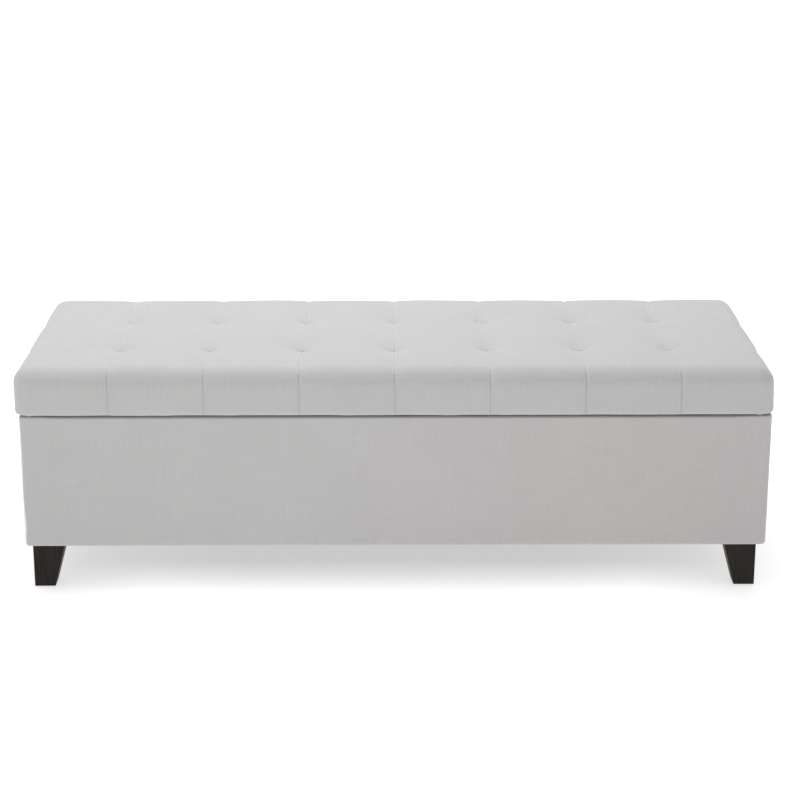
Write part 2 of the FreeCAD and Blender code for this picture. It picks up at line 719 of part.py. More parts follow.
def strut_tube(side):
    """Tube with a closed end towards the lid pivot."""
    start, end = on_strut(side, tube_start), on_strut(side, tube_end)
    cap_end = tube_start + tube_cap_thickness
    bore = rod(tube_radius - tube_wall, on_strut(side, cap_end), end + strut_line)
    stud = rod(rod_radius + fixed_clearance, start - strut_line, on_strut(side, cap_end + past))
    return rod(tube_radius, start, end).cut([bore, stud])


def strut_gland(side):
    """Guide and seal ring in the tube's open end."""
    start, end = on_strut(side, tube_end - gland_length), on_strut(side, tube_end)
    ring = rod(tube_radius - tube_wall - fixed_clearance, start, end)
    return ring.cut(rod(rod_radius + sliding_clearance, start - strut_line, end + strut_line))


def strut_rod(side):
    """Rod with its piston inside the tube."""
    shaft = rod(rod_radius, on_strut(side, piston_start), on_strut(side, rod_end))
    piston_radius = tube_radius - tube_wall - running_clearance
    piston = rod(piston_radius, on_strut(side, piston_start), on_strut(side, piston_start + piston_length))
    return joined([shaft, piston])


def pivot_pin(centre, side, root):
    """Pin across the strut from root, on the wall side, to past its clip, with a groove for the clip."""
    start = Vector(side * root, centre.y, centre.z)
    tip = Vector(side * (strut_x - pin_tip), centre.y, centre.z)
    pin = rod(strut_pin_radius, start, tip)
    groove0, groove1 = clip_faces(side, centre, fixed_clearance)
    core = rod(strut_pin_radius - pin_groove_depth, groove0, groove1)
    waste = rod(strut_pin_radius + past, groove0, groove1).cut(core)
    return pin.cut(waste)


def clip_faces(side, centre, play):
    """Centres of a retaining clip's two faces, moved apart by play."""
    near = strut_x - pin_groove_start + play - fixed_clearance
    far = strut_x - pin_groove_start - clip_thickness - play - fixed_clearance
    return Vector(side * near, centre.y, centre.z), Vector(side * far, centre.y, centre.z)


def retaining_clip(side, centre):
    """Open ring that snaps into a pin's groove."""
    face0, face1 = clip_faces(side, centre, 0)
    ring = rod(clip_radius, face0, face1)
    inner = rod(strut_pin_radius - pin_groove_depth + fixed_clearance, face0, face1)
    mouth_half = strut_pin_radius - pin_groove_depth - clip_mouth_grip
    x0, x1 = sorted((face0.x, face1.x))
    mouth = block(x0 - past, x1 + past, centre.y - mouth_half, centre.y + mouth_half,
                  centre.z - clip_radius - past, centre.z)
    return ring.cut([inner, mouth])


def box_bracket(side):
    """Plate on the side wall with a shouldered pin."""
    face = lining_half_width
    half_y = lining_back_face - bracket_wall_gap - box_pivot_y
    half_z = bracket_length / 2
    x0, x1 = sorted((side * face, side * (face - bracket_thickness)))
    plate = block(x0, x1, box_pivot_y - half_y, box_pivot_y + half_y,
                  box_pivot_z - half_z, box_pivot_z + half_z)
    across = [e for e in plate.Edges if abs(e.tangentAt(e.FirstParameter).x) > 0.99]
    plate = plate.makeFillet(bracket_corner_radius, across)
    centre = Vector(0, box_pivot_y, box_pivot_z)
    shoulder_end = face - bracket_thickness - bracket_standoff
    shoulder_start = face - bracket_thickness / 2
    shoulder = rod(strut_pin_radius + pin_shoulder, Vector(side * shoulder_start, centre.y, centre.z),
                   Vector(side * shoulder_end, centre.y, centre.z))
    pin = pivot_pin(centre, side, shoulder_end + pin_root)
    return cut_all(joined([plate, shoulder, pin]), voids(box_bracket_seats(side), box_bracket_screw))


def lid_bracket(side):
    """Angle under the lid: a screwed flange, and a downturned ear with the strut's pin."""
    ear_inner = strut_x + eye_width / 2 + moving_gap
    ear_outer = ear_inner + ear_thickness
    top, bottom = lid_bottom, lid_bottom - bracket_thickness
    x0, x1 = sorted((side * ear_outer, side * (ear_outer - lid_bracket_flange_width)))
    flange = block(x0, x1, lid_pivot_y - bracket_length / 2, lid_pivot_y + bracket_length / 2, bottom, top)
    inner_edges = [e for e in flange.Edges if abs(e.tangentAt(e.FirstParameter).z) > 0.99
                   and max(abs(e.BoundBox.XMin), abs(e.BoundBox.XMax)) < ear_inner]
    flange = flange.makeFillet(bracket_corner_radius, inner_edges)
    x0, x1 = sorted((side * ear_inner, side * ear_outer))
    ear_half = eye_radius + lid_bracket_ear_margin
    ear_top = bottom + bracket_thickness / 2
    ear = block(x0, x1, lid_pivot_y - ear_half, lid_pivot_y + ear_half, lid_pivot_z, ear_top)
    tip = rod(ear_half, Vector(x0, lid_pivot_y, lid_pivot_z), Vector(x1, lid_pivot_y, lid_pivot_z))
    centre = Vector(0, lid_pivot_y, lid_pivot_z)
    pin = pivot_pin(centre, side, ear_inner + pin_root)
    return cut_all(joined([flange, ear, tip, pin]), voids(lid_bracket_seats(side), lid_bracket_screw))


def make_struts():
    box_clips, lid_clips, box_screws, lid_screws = [], [], [], []
    back_to_lid = -strut_line
    for name, side in (("left", -1), ("right", 1)):
        save(name + "_strut_tube", strut_tube(side))
        save(name + "_strut_gland", strut_gland(side))
        save(name + "_strut_tube_eye", eye_fitting(side, 0, strut_line, tube_cap_thickness))
        save(name + "_strut_rod", strut_rod(side))
        save(name + "_strut_rod_eye", eye_fitting(side, strut_closed, back_to_lid, -rod_socket_depth))
        save(name + "_strut_box_bracket", box_bracket(side))
        save(name + "_strut_lid_bracket", lid_bracket(side))
        box_clips.append(retaining_clip(side, Vector(0, box_pivot_y, box_pivot_z)))
        lid_clips.append(retaining_clip(side, Vector(0, lid_pivot_y, lid_pivot_z)))
        box_screws += [screw(p, d, **box_bracket_screw) for p, d in box_bracket_seats(side)]
        lid_screws += [screw(p, d, **lid_bracket_screw) for p, d in lid_bracket_seats(side)]
    save("strut_box_clips", box_clips)
    save("strut_lid_clips", lid_clips)
    save("strut_box_bracket_screws", box_screws)
    save("strut_lid_bracket_screws", lid_screws)


def make_screws():
    save("panel_screws", [screw(p, d, **panel_screw) for p, d in panel_screw_seats()])
    save("floor_screws", [screw(p, d, **floor_screw) for p, d in floor_screw_seats()])


def main():
    os.makedirs("parts", exist_ok=True)
    make_panels()
    make_floor()
    make_corner_blocks()
    make_box_padding()
    make_box_cover()
    make_linings()
    make_legs()
    make_lid()
    make_bumpers()
    make_hinges()
    make_struts()
    make_screws()
    print("hinge pin at y %.4f z %.4f" % (hinge_y, hinge_z))
    print("lid pivot at y %.4f z %.4f" % (lid_pivot_y, lid_pivot_z))
    print("box pivot at y %.4f z %.4f" % (box_pivot_y, box_pivot_z))
    print("strut %.1f closed, %.1f open, room for stroke %.1f" % (strut_closed, strut_open, stroke_room))


main()
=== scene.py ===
import json
import math

import bmesh
import bpy
import numpy as np
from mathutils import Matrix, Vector, noise
from mathutils.bvhtree import BVHTree
from mathutils.interpolate import poly_3d_calc


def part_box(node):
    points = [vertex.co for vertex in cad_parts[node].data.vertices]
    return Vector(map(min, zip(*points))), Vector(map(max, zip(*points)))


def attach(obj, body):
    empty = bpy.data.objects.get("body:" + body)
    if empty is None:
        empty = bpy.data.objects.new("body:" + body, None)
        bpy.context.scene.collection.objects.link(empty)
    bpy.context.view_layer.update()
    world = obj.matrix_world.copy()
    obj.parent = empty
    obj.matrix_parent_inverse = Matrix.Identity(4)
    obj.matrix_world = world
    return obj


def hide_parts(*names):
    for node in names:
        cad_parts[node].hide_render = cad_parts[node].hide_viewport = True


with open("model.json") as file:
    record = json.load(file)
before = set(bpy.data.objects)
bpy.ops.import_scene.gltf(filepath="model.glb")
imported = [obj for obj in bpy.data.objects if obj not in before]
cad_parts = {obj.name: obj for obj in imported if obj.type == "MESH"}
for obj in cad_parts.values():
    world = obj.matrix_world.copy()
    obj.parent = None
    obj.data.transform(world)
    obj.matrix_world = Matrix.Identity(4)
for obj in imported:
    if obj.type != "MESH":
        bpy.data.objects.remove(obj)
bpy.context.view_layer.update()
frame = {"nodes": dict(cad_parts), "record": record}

# Upholstered storage bench: the soft covers, linings and stitching are made here over the packed
# CAD frame, in metres. Boards, legs, hinges and struts are the CAD nodes with better materials.

MM = 0.001
QUARTER = math.pi / 4

# ------------------------------ sizes read from the frame
lid_low, lid_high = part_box("lid_cover")
box_low, box_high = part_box("box_cover")
board_low, board_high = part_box("lid_board")
ties_low, ties_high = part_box("tuft_ties")
dust_low, dust_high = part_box("box_dust_cover")
lid_dust_low, lid_dust_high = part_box("lid_dust_cover")
panel_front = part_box("front_panel")[0].y
floor_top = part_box("floor_panel")[1].z
lining_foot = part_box("wall_lining")[0].z

# lid: panels between its seams, the tufts' cords, and the radius of its upper edges and corners
PANELS = 8
TIE_RADIUS = 1.0 * MM
LID_ROUND = 0.028
LID_HEM_RADIUS, LID_HEM_ROWS = 0.003, 8
seam_xs = np.linspace(lid_low.x, lid_high.x, PANELS + 1)[1:-1]
tuft_ys = np.array([ties_low.y + TIE_RADIUS, ties_high.y - TIE_RADIUS])
drawn_in = ties_low.x + TIE_RADIUS - seam_xs[0]      # end columns' tufts, in from their seams

# box: the walls with their cover, the cover turned down inside the rim and in underneath
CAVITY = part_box("left_side_panel")[1].x - box_low.x
LIP = 30.0 * MM
HEM = dust_low.x - box_low.x - 0.5 * MM
BOX_CORNER = 10 * MM


def drawn_x(x, y):
    """Where the cloth at lattice place x, y lies: the end seams bend in towards their tufts."""
    along = np.interp(np.abs(x), [seam_xs[-2], seam_xs[-1], lid_high.x], [0.0, 1.0, 0.0])
    row = np.interp(y, [lid_low.y, tuft_ys[0], tuft_ys[1], lid_high.y], [0.0, 1.0, 1.0, 0.0])
    return x - np.sign(x) * drawn_in * along * row * row * (3 - 2 * row)


# ------------------------------ node helpers
class Nodes:
    """Short way to build a node material."""

    def __init__(self, name):
        self.mat = bpy.data.materials.new(name)
        self.mat.use_nodes = True
        self.tree = self.mat.node_tree
        self.tree.nodes.clear()
        self.shader = self.new("BsdfPrincipled")
        self.link(self.shader.outputs["BSDF"], self.new("OutputMaterial").inputs["Surface"])

    def fill(self, node, **inputs):
        """Links or sets a node's inputs. _ stands for the space in a socket's name."""
        for socket, value in inputs.items():
            self.set(node, socket.replace("_", " "), value)
        return node

    def new(self, kind, **inputs):
        return self.fill(self.tree.nodes.new("ShaderNode" + kind), **inputs)

    def link(self, a, b):
        self.tree.links.new(a, b)

    def set(self, node, socket, value):
        if isinstance(value, bpy.types.NodeSocket):
            self.link(value, node.inputs[socket])
        elif value is not None:
            node.inputs[socket].default_value = value

    def coords(self, kind="Object"):
        return self.new("TexCoord").outputs[kind]

    def scaled(self, vector, scale):
        return self.new("Mapping", Vector=vector, Scale=scale).outputs["Vector"]

    def noise(self, vector, scale=1.0, detail=2.0, rough=0.5, distort=0.0):
        node = self.new("TexNoise", Vector=vector, Scale=scale, Detail=detail, Roughness=rough,
                        Distortion=distort)
        return node.outputs["Fac"]

    def math(self, op, a, b=None, c=None):
        node = self.new("Math")
        node.operation = op
        for i, value in enumerate((a, b, c)):
            self.set(node, i, value)
        return node.outputs[0]

    def remap(self, value, low, high, to_low=0.0, to_high=1.0):
        node = self.new("MapRange", Value=value, From_Min=low, From_Max=high, To_Min=to_low, To_Max=to_high)
        return node.outputs["Result"]

    def mix(self, factor, a, b, blend="MIX"):
        node = self.new("Mix")
        node.data_type = "RGBA"
        node.blend_type = blend
        self.set(node, "Factor", factor)
        for socket, value in ((6, a), (7, b)):
            self.set(node, socket, value if isinstance(value, bpy.types.NodeSocket) else (*value, 1.0))
        return node.outputs[2]

    def split(self, vector):
        return self.new("SeparateXYZ", Vector=vector).outputs

    def bump(self, height, strength, distance):
        node = self.new("Bump", Strength=strength, Distance=distance, Height=height)
        return node.outputs["Normal"]

    def finish(self, colour, roughness, normal=None, **constants):
        self.fill(self.shader, Base_Color=colour, Roughness=roughness, Normal=normal, **constants)
        return self.mat


# ------------------------------ materials
def woven(name, light, dark, pitch, slub, bump, sheen, coords="UV", right_end_painted_shade=None):
    """Plain weave with uneven threads. pitch is the thread spacing in metres, slub how much the threads
    differ in tone. The last argument is painted shade, a darkening with a slight cast multiplied in towards
    the right end."""
    n = Nodes(name)
    uv = n.coords(coords)
    u, v = n.split(uv)[:2]
    warp = n.noise(n.scaled(uv, (1 / (1.3 * pitch), 16.0, 1.0)), 1.0, 3.0, 0.62)
    weft = n.noise(n.scaled(uv, (13.0, 1 / (1.5 * pitch), 1.0)), 1.0, 3.0, 0.62)
    wander = n.math("MULTIPLY", n.noise(n.scaled(uv, (60.0, 60.0, 1.0)), 1.0, 2.0), 1.2)
    across = n.math("SINE", n.math("ADD", n.math("MULTIPLY", u, math.pi / pitch), wander))
    along = n.math("SINE", n.math("ADD", n.math("MULTIPLY", v, math.pi / pitch), wander))
    weave = n.math("MULTIPLY_ADD", n.math("MULTIPLY", across, along), 0.5, 0.5)
    threads = n.math("ADD", warp, weft)
    mottle = n.noise(n.scaled(uv, (7.0, 7.0, 1.0)), 1.0, 3.0, 0.6)
    fuzz = n.noise(n.scaled(uv, (2600.0, 2600.0, 1.0)), 1.0, 2.0, 0.7)
    tone = n.math("MULTIPLY", n.math("SUBTRACT", threads, 1.0), slub)
    for part, share in ((mottle, 0.25), (weave, 0.34), (fuzz, 0.3)):
        tone = n.math("ADD", tone, n.math("MULTIPLY", n.math("SUBTRACT", part, 0.5), share))
    colour = n.mix(n.math("ADD", tone, 0.5), dark, light)
    # painted shade: the cloth's colour is multiplied darker towards the right end
    if right_end_painted_shade:
        across_bench = n.split(n.coords())[0]
        colour = n.mix(n.remap(across_bench, -0.15, 0.6), colour, right_end_painted_shade, "MULTIPLY")
    height = n.math("ADD", weave, n.math("MULTIPLY", threads, 0.55))
    normal = n.bump(height, bump, 0.35 * pitch)
    rough = n.remap(weave, 0.0, 1.0, 0.96, 0.86)
    return n.finish(colour, rough, normal,
                    Sheen_Weight=sheen, Sheen_Roughness=0.45, Specular_IOR_Level=0.18)


def felted(name, light, dark, scale, bump):
    """Non-woven cloth, wadding or foam: mottled fibres with fine pits."""
    n = Nodes(name)
    at = n.coords()
    fibres = n.noise(n.scaled(at, (scale, scale * 0.7, scale)), 1.0, 5.0, 0.7, 0.6)
    pits = n.noise(at, scale * 3.1, 2.0, 0.6)
    broad = n.noise(at, 9.0, 2.0, 0.5)
    tone = n.math("MULTIPLY_ADD", broad, 0.35, n.math("MULTIPLY", fibres, 0.65))
    height = n.math("ADD", fibres, n.math("MULTIPLY", pits, 0.5))
    return n.finish(n.mix(n.remap(tone, 0.25, 0.75), dark, light), n.remap(fibres, 0.0, 1.0, 0.98, 0.8),
                    n.bump(height, bump, 0.0006), Sheen_Weight=0.15, Specular_IOR_Level=0.2)


def timber(name, light, dark, stretch, ring, rough_ends, bump, specular=0.4):
    """Wood grain along one axis. stretch scales the noise along x, y and z; ring sets how many growth
    rings show; rough_ends are the smoothest and the roughest roughness."""
    n = Nodes(name)
    at = n.coords()
    figure = n.noise(n.scaled(at, stretch), 1.0, 4.0, 0.62, 1.1)
    pores = n.noise(n.scaled(at, tuple(8 * s for s in stretch)), 1.0, 3.0, 0.7)
    rings = n.math("SINE", n.math("MULTIPLY", figure, ring))
    tone = n.math("MULTIPLY_ADD", rings, 0.28, n.math("MULTIPLY_ADD", pores, 0.45, 0.28))
    rough = n.remap(pores, 0.3, 0.7, *rough_ends)
    height = n.math("ADD", n.math("MULTIPLY", rings, 0.3), pores)
    return n.finish(n.mix(tone, dark, light), rough, n.bump(height, bump, 0.0004),
                    Specular_IOR_Level=specular)


def board(name, light, dark):
    """Pressed or layered raw board: flakes and short fibres."""
    n = Nodes(name)
    at = n.coords()
    cells = n.new("TexVoronoi", Vector=n.scaled(at, (60.0, 220.0, 90.0)), Scale=1.0)
    flakes = n.math("MULTIPLY", cells.outputs["Distance"], 0.9)
    fibres = n.noise(n.scaled(at, (90.0, 500.0, 300.0)), 1.0, 4.0, 0.7)
    tone = n.math("MULTIPLY_ADD", fibres, 0.7, n.math("MULTIPLY", flakes, 0.4))
    return n.finish(n.mix(n.remap(tone, 0.3, 0.95), dark, light), n.remap(fibres, 0.2, 0.8, 0.95, 0.75),
                    n.bump(tone, 0.35, 0.0005))


def metal(name, light, dark, rough_ends, metallic, brush=(900.0, 40.0, 900.0), bump=0.08, coat=0.0):
    """Plated, brushed or painted metal with fine drawn lines and slight stains."""
    n = Nodes(name)
    at = n.coords()
    lines = n.noise(n.scaled(at, brush), 1.0, 2.0, 0.6)
    stain = n.noise(at, 60.0, 4.0, 0.65)
    tone = n.math("MULTIPLY_ADD", stain, 0.7, n.math("MULTIPLY", lines, 0.3))
    wear = n.math("MULTIPLY_ADD", lines, 0.5, n.math("MULTIPLY", stain, 0.5))
    rough = n.remap(wear, 0.3, 0.7, *rough_ends)
    return n.finish(n.mix(n.remap(tone, 0.3, 0.7), dark, light), rough, n.bump(lines, bump, 0.0001),
                    Metallic=metallic, Coat_Weight=coat, Coat_Roughness=0.2)


def moulded(name, light, dark, rough_ends, grain=1500.0, bump=0.15):
    """Moulded plastic or rubber with a fine grain."""
    n = Nodes(name)
    at = n.coords()
    fine = n.noise(at, grain, 2.0, 0.5)
    broad = n.noise(at, 40.0, 3.0, 0.6)
    tone = n.math("MULTIPLY_ADD", broad, 0.7, n.math("MULTIPLY", fine, 0.3))
    return n.finish(n.mix(n.remap(tone, 0.3, 0.7), dark, light), n.remap(fine, 0.3, 0.7, *rough_ends),
                    n.bump(fine, bump, 0.0002))


linen_tones = (0.556, 0.554, 0.551), (0.422, 0.419, 0.417)
linen_weave = {"pitch": 1.15 * MM, "slub": 0.62, "bump": 0.5, "sheen": 0.2}
# both cloths get painted shade towards the right end; the box's painted shade has a pinkish cast
linen = woven("linen", *linen_tones, **linen_weave, right_end_painted_shade=(0.972, 0.967, 0.971))
box_linen = woven("box_linen", *linen_tones, **linen_weave, right_end_painted_shade=(0.962, 0.915, 0.926))
thread = woven("sewing_thread", (0.80, 0.795, 0.79), (0.65, 0.647, 0.644),
               pitch=0.35 * MM, slub=0.5, bump=0.4, sheen=0.3, coords="Object")
lining_cloth = woven("lining_cloth", (0.040, 0.040, 0.042), (0.020, 0.020, 0.021),
                     pitch=0.45 * MM, slub=0.7, bump=0.35, sheen=0.1)
dust_cloth = felted("dust_cloth", (0.030, 0.030, 0.031), (0.012, 0.012, 0.013), scale=700.0, bump=0.5)
wadding = felted("wadding", (0.86, 0.86, 0.84), (0.70, 0.70, 0.68), scale=320.0, bump=0.8)
foam = felted("seat_foam", (0.86, 0.80, 0.58), (0.70, 0.62, 0.40), scale=900.0, bump=0.9)
dark_wood = timber("espresso_wood", (0.021, 0.017, 0.0145), (0.009, 0.0075, 0.0065),
                   (95.0, 95.0, 7.0), ring=30.0, rough_ends=(0.38, 0.55), bump=0.25, specular=0.16)
softwood = timber("softwood", (0.76, 0.60, 0.38), (0.56, 0.40, 0.22),
                  (6.0, 70.0, 70.0), ring=26.0, rough_ends=(0.7, 0.9), bump=0.3)
plywood = timber("plywood", (0.70, 0.55, 0.36), (0.52, 0.37, 0.21),
                 (5.0, 28.0, 300.0), ring=18.0, rough_ends=(0.7, 0.9), bump=0.25)
chipboard = board("panel_board", (0.62, 0.49, 0.33), (0.40, 0.29, 0.18))
zinc = metal("zinc_plate", (0.72, 0.72, 0.70), (0.48, 0.48, 0.47), (0.28, 0.5), metallic=1.0)
staple_steel = metal("staple_steel", (0.66, 0.66, 0.65), (0.45, 0.45, 0.44), (0.25, 0.45), metallic=1.0)
black_steel = metal("black_coat", (0.030, 0.030, 0.031), (0.016, 0.016, 0.017), (0.42, 0.6),
                    metallic=0.0, brush=(400.0, 400.0, 400.0), bump=0.3)
tube_lacquer = metal("tube_lacquer", (0.022, 0.022, 0.023), (0.012, 0.012, 0.013), (0.22, 0.34),
                     metallic=0.0, brush=(500.0, 60.0, 60.0), bump=0.05, coat=0.5)
rod_chrome = metal("rod_chrome", (0.82, 0.82, 0.82), (0.66, 0.66, 0.67), (0.08, 0.18),
                   metallic=1.0, brush=(2000.0, 60.0, 60.0), bump=0.03)
black_plastic = moulded("black_plastic", (0.034, 0.034, 0.035), (0.018, 0.018, 0.019), (0.45, 0.65))
bumper_rubber = moulded("bumper_rubber", (0.78, 0.77, 0.74), (0.66, 0.65, 0.62), (0.35, 0.5),
                        grain=900.0, bump=0.1)
cord = woven("tie_cord", (0.78, 0.77, 0.74), (0.6, 0.59, 0.56),
             pitch=0.5 * MM, slub=0.5, bump=0.6, sheen=0.2, coords="Object")

NODE_LOOKS = {
    "panel_board": chipboard, "plywood": plywood, "softwood": softwood, "dark_wood": dark_wood,
    "zinc_steel": zinc, "black_steel": black_steel, "strut_tube": tube_lacquer, "strut_rod": rod_chrome,
    "black_plastic": black_plastic, "bumper_rubber": bumper_rubber, "tie_cord": cord,
    "wadding": wadding, "light_fabric": linen, "lining_fabric": lining_cloth, "black_fabric": dust_cloth,
    "seat_foam": foam,
}
slot_of = {s["node"]: s["material_slot"] for s in frame["record"]["subparts"]}
for node_name, node_object in frame["nodes"].items():
    data = node_object.data
    look = NODE_LOOKS[slot_of[node_name]]
    if not data.materials:
        data.materials.append(look)
    for slot in node_object.material_slots:
        slot.material = look


# ------------------------------ mesh helpers
def mesh_object(name, verts, faces, material, uvs=None, smooth=True):
    """Object from arrays; uvs are one pair per vertex, in metres."""
    mesh = bpy.data.meshes.new(name)
    mesh.from_pydata([tuple(map(float, v)) for v in verts], [], [tuple(map(int, f)) for f in faces])
    mesh.materials.append(material)
    if uvs is not None:
        layer = mesh.uv_layers.new(name="cloth")
        loops = np.zeros(len(mesh.loops), dtype=np.int32)
        mesh.loops.foreach_get("vertex_index", loops)
        layer.data.foreach_set("uv", np.asarray(uvs, np.float32)[loops].ravel())
    mesh.polygons.foreach_set("use_smooth", [smooth] * len(mesh.polygons))
    mesh.update()
    obj = bpy.data.objects.new(name, mesh)
    bpy.context.scene.collection.objects.link(obj)
    return obj


def get_points(obj, kind="co"):
    values = np.empty(len(obj.data.vertices) * 3)
    obj.data.vertices.foreach_get(kind, values)
    return values.reshape(-1, 3)


def set_points(obj, points):
    obj.data.vertices.foreach_set("co", np.ascontiguousarray(points, dtype=np.float64).ravel())
    obj.data.update()


def get_normals(obj):
    return get_points(obj, "normal")


def wobble(points, scale, seed, stretch=(1.0, 1.0, 1.0)):
    """Smooth noise from -1 to 1 at each point; scale is the size of its lumps in metres."""
    k = np.array(stretch) / scale
    shift = Vector((seed * 7.31, seed * 3.17, seed * 5.77))
    return np.array([noise.noise(Vector(p * k) + shift) for p in points])


def rim_distance(x, y, x0, x1, y0, y1):
    """How far in from the nearest edge of a rectangle each place lies."""
    return np.minimum(np.minimum(x - x0, x1 - x), np.minimum(y - y0, y1 - y))


def subdivide(obj):
    """Applies one level of subdivision surface."""
    mod = obj.modifiers.new("smooth", "SUBSURF")
    mod.levels = mod.render_levels = 1
    apply_modifiers(obj)


def apply_modifiers(obj):
    graph = bpy.context.evaluated_depsgraph_get()
    graph.update()
    done = bpy.data.meshes.new_from_object(obj.evaluated_get(graph))
    obj.modifiers.clear()
    old = obj.data
    obj.data = done
    done.name = old.name
    bpy.data.meshes.remove(old)


def slab_shell(low, high, xs, ys, zs, radius, bottom_radius, hem):
    """Quads over a rounded slab: its sides, its top, and a hem of so many rows turned in underneath.

    xs, ys and zs are the lattice lines, first and last on the slab's faces. Returns vertices, faces,
    cloth coordinates in metres and the lattice position of each vertex."""
    verts, uvs, where, index, faces = [], [], [], {}, []
    last_i, last_j, last_k = len(xs) - 1, len(ys) - 1, len(zs) - 1

    def rounding(value, start, stop):
        """How far a place is into the rounding at its nearer end, 0 to 1, and that end's sign."""
        before, after = max(0.0, radius - (value - start)), max(0.0, radius - (stop - value))
        return (before / radius, -1.0) if before > after else (after / radius, 1.0)

    def place(i, j, k):
        """The number of the vertex at one lattice crossing, made when it is first asked for."""
        key = (i, j, k)
        if key in index:
            return index[key]
        x, y, z = xs[i], ys[j], zs[k]
        (a, sx), (b, sy) = rounding(x, low.x, high.x), rounding(y, low.y, high.y)
        core_x = min(max(x, low.x + radius), high.x - radius)
        core_y = min(max(y, low.y + radius), high.y - radius)
        drop, rise = high.z - z, z - low.z
        side = i in (0, last_i) or j in (0, last_j)
        inward = min(x - low.x, high.x - x, y - low.y, high.y - y)
        if drop < radius:
            c = 1.0 - drop / radius
            v = Vector((sx * math.tan(QUARTER * a), sy * math.tan(QUARTER * b), math.tan(QUARTER * c)))
            v.normalize()
            point = Vector((core_x, core_y, high.z - radius)) + v * radius
        else:
            inset, point_z = 0.0, z
            if k == 0 or rise < bottom_radius:
                if side:
                    turn = QUARTER * (1.0 - rise / bottom_radius)
                else:
                    turn = QUARTER + QUARTER * min(inward / bottom_radius, 1.0)
                inset = bottom_radius * (1 - math.cos(turn)) + max(0.0, inward - bottom_radius)
                point_z = low.z + bottom_radius * (1 - math.sin(turn))
            m = max(a, b)
            if m > 0:
                v = Vector((sx * math.tan(QUARTER * a / m), sy * math.tan(QUARTER * b / m), 0.0))
                v.normalize()
                point = Vector((core_x, core_y, 0.0)) + v * (radius - inset)
            else:
                point = Vector((x, y, 0.0))
            point.z = point_z
        index[key] = len(verts)
        verts.append(point)
        between = 0 < i < last_i
        u = x - drop if i == 0 else x + drop if i == last_i else x
        w = y - drop if j == 0 and between else y + drop if j == last_j and between else y
        if k == 0 and not side:
            w = low.y - drop - inward
        uvs.append((u, w))
        where.append((x, y, z))
        return index[key]

    def quad(*corners):
        faces.append(tuple(place(*corner) for corner in corners))

    for i in range(last_i):
        for k in range(last_k):
            quad((i, 0, k), (i + 1, 0, k), (i + 1, 0, k + 1), (i, 0, k + 1))
            quad((i + 1, last_j, k), (i, last_j, k), (i, last_j, k + 1), (i + 1, last_j, k + 1))
    for j in range(last_j):
        for k in range(last_k):
            quad((0, j + 1, k), (0, j, k), (0, j, k + 1), (0, j + 1, k + 1))
            quad((last_i, j, k), (last_i, j + 1, k), (last_i, j + 1, k + 1), (last_i, j, k + 1))
    for i in range(last_i):
        for j in range(last_j):
            quad((i, j, last_k), (i + 1, j, last_k), (i + 1, j + 1, last_k), (i, j + 1, last_k))
            if min(i + 1, last_i - i, j + 1, last_j - j) <= hem:
                quad((i, j + 1, 0), (i + 1, j + 1, 0), (i + 1, j, 0), (i, j, 0))
    return np.array([tuple(v) for v in verts]), faces, np.array(uvs), np.array(where)


# ------------------------------ cloth simulation
def puff(obj, pins, pressure, grow, frames, cap, sink=0.4 * MM, stiffness=15.0, bending=0.5):
    """Lets the cloth settle outwards under pressure and returns how far each point moved.

    pins holds one weight per vertex, 1 where it is held. grow is the cloth's spare length as a
    fraction. No point ends further than cap from where it started, or sinks into the foam by more
    than sink."""
    start, normals = get_points(obj).copy(), get_normals(obj).copy()
    group = obj.vertex_groups.new(name="held")
    for weight in np.unique(np.round(pins, 2)):
        members = np.nonzero(np.round(pins, 2) == weight)[0]
        if weight > 0:
            group.add([int(i) for i in members], float(weight), "REPLACE")
    mod = obj.modifiers.new("cloth", "CLOTH")
    settings = mod.settings
    settings.quality = 6
    settings.mass = 0.15
    settings.air_damping = 2.0
    settings.tension_stiffness = settings.compression_stiffness = stiffness
    settings.shear_stiffness = stiffness * 0.3
    settings.bending_stiffness = bending
    settings.vertex_group_mass = group.name
    settings.pin_stiffness = 1.0
    settings.use_pressure = True
    settings.uniform_pressure_force = pressure
    settings.shrink_min = -grow
    settings.effector_weights.gravity = 0.0
    mod.collision_settings.use_collision = False
    mod.collision_settings.use_self_collision = False
    scene = bpy.context.scene
    mod.point_cache.frame_start, mod.point_cache.frame_end = 1, frames
    for number in range(1, frames + 1):
        scene.frame_set(number)
    graph = bpy.context.evaluated_depsgraph_get()
    settled = obj.evaluated_get(graph)
    move = get_points(settled) - start
    obj.modifiers.remove(mod)
    obj.vertex_groups.remove(group)
    scene.frame_set(1)
    outward = (move * normals).sum(1)
    move += normals * (np.maximum(outward, -sink) - outward)[:, None]
    far = np.linalg.norm(move, axis=1)
    print("%s moved at most %.1f mm, on average %.2f mm" % (obj.name, far.max() / MM, far.mean() / MM))
    return move * np.minimum(1.0, cap / np.maximum(far, 1e-9))[:, None]


def smoothed(moves, faces, fixed, rounds):
    """The moves, averaged with their neighbours': the foam's give shows and small creases don't."""
    ends = np.array([(face[i - 1], face[i]) for face in faces for i in range(len(face))])
    for _ in range(rounds):
        total, count = moves.copy(), np.ones(len(moves))
        np.add.at(total, ends[:, 0], moves[ends[:, 1]])
        np.add.at(count, ends[:, 0], 1.0)
        moves = np.where(fixed[:, None], moves, total / count[:, None])
    return moves


def carry(coarse_places, coarse_faces, moves, places):
    """The coarse lattice's moves, read off at the places of a finer lattice."""
    corners = [Vector(p) for p in coarse_places]
    tree = BVHTree.FromPolygons(corners, coarse_faces)
    carried = np.zeros((len(places), 3))
    for row, place in enumerate(places):
        spot, _, face, _ = tree.find_nearest(Vector(place))
        ring = coarse_faces[face]
        weights = poly_3d_calc([corners[i] for i in ring], spot)
        carried[row] = sum(w * moves[i] for w, i in zip(weights, ring))
    return carried


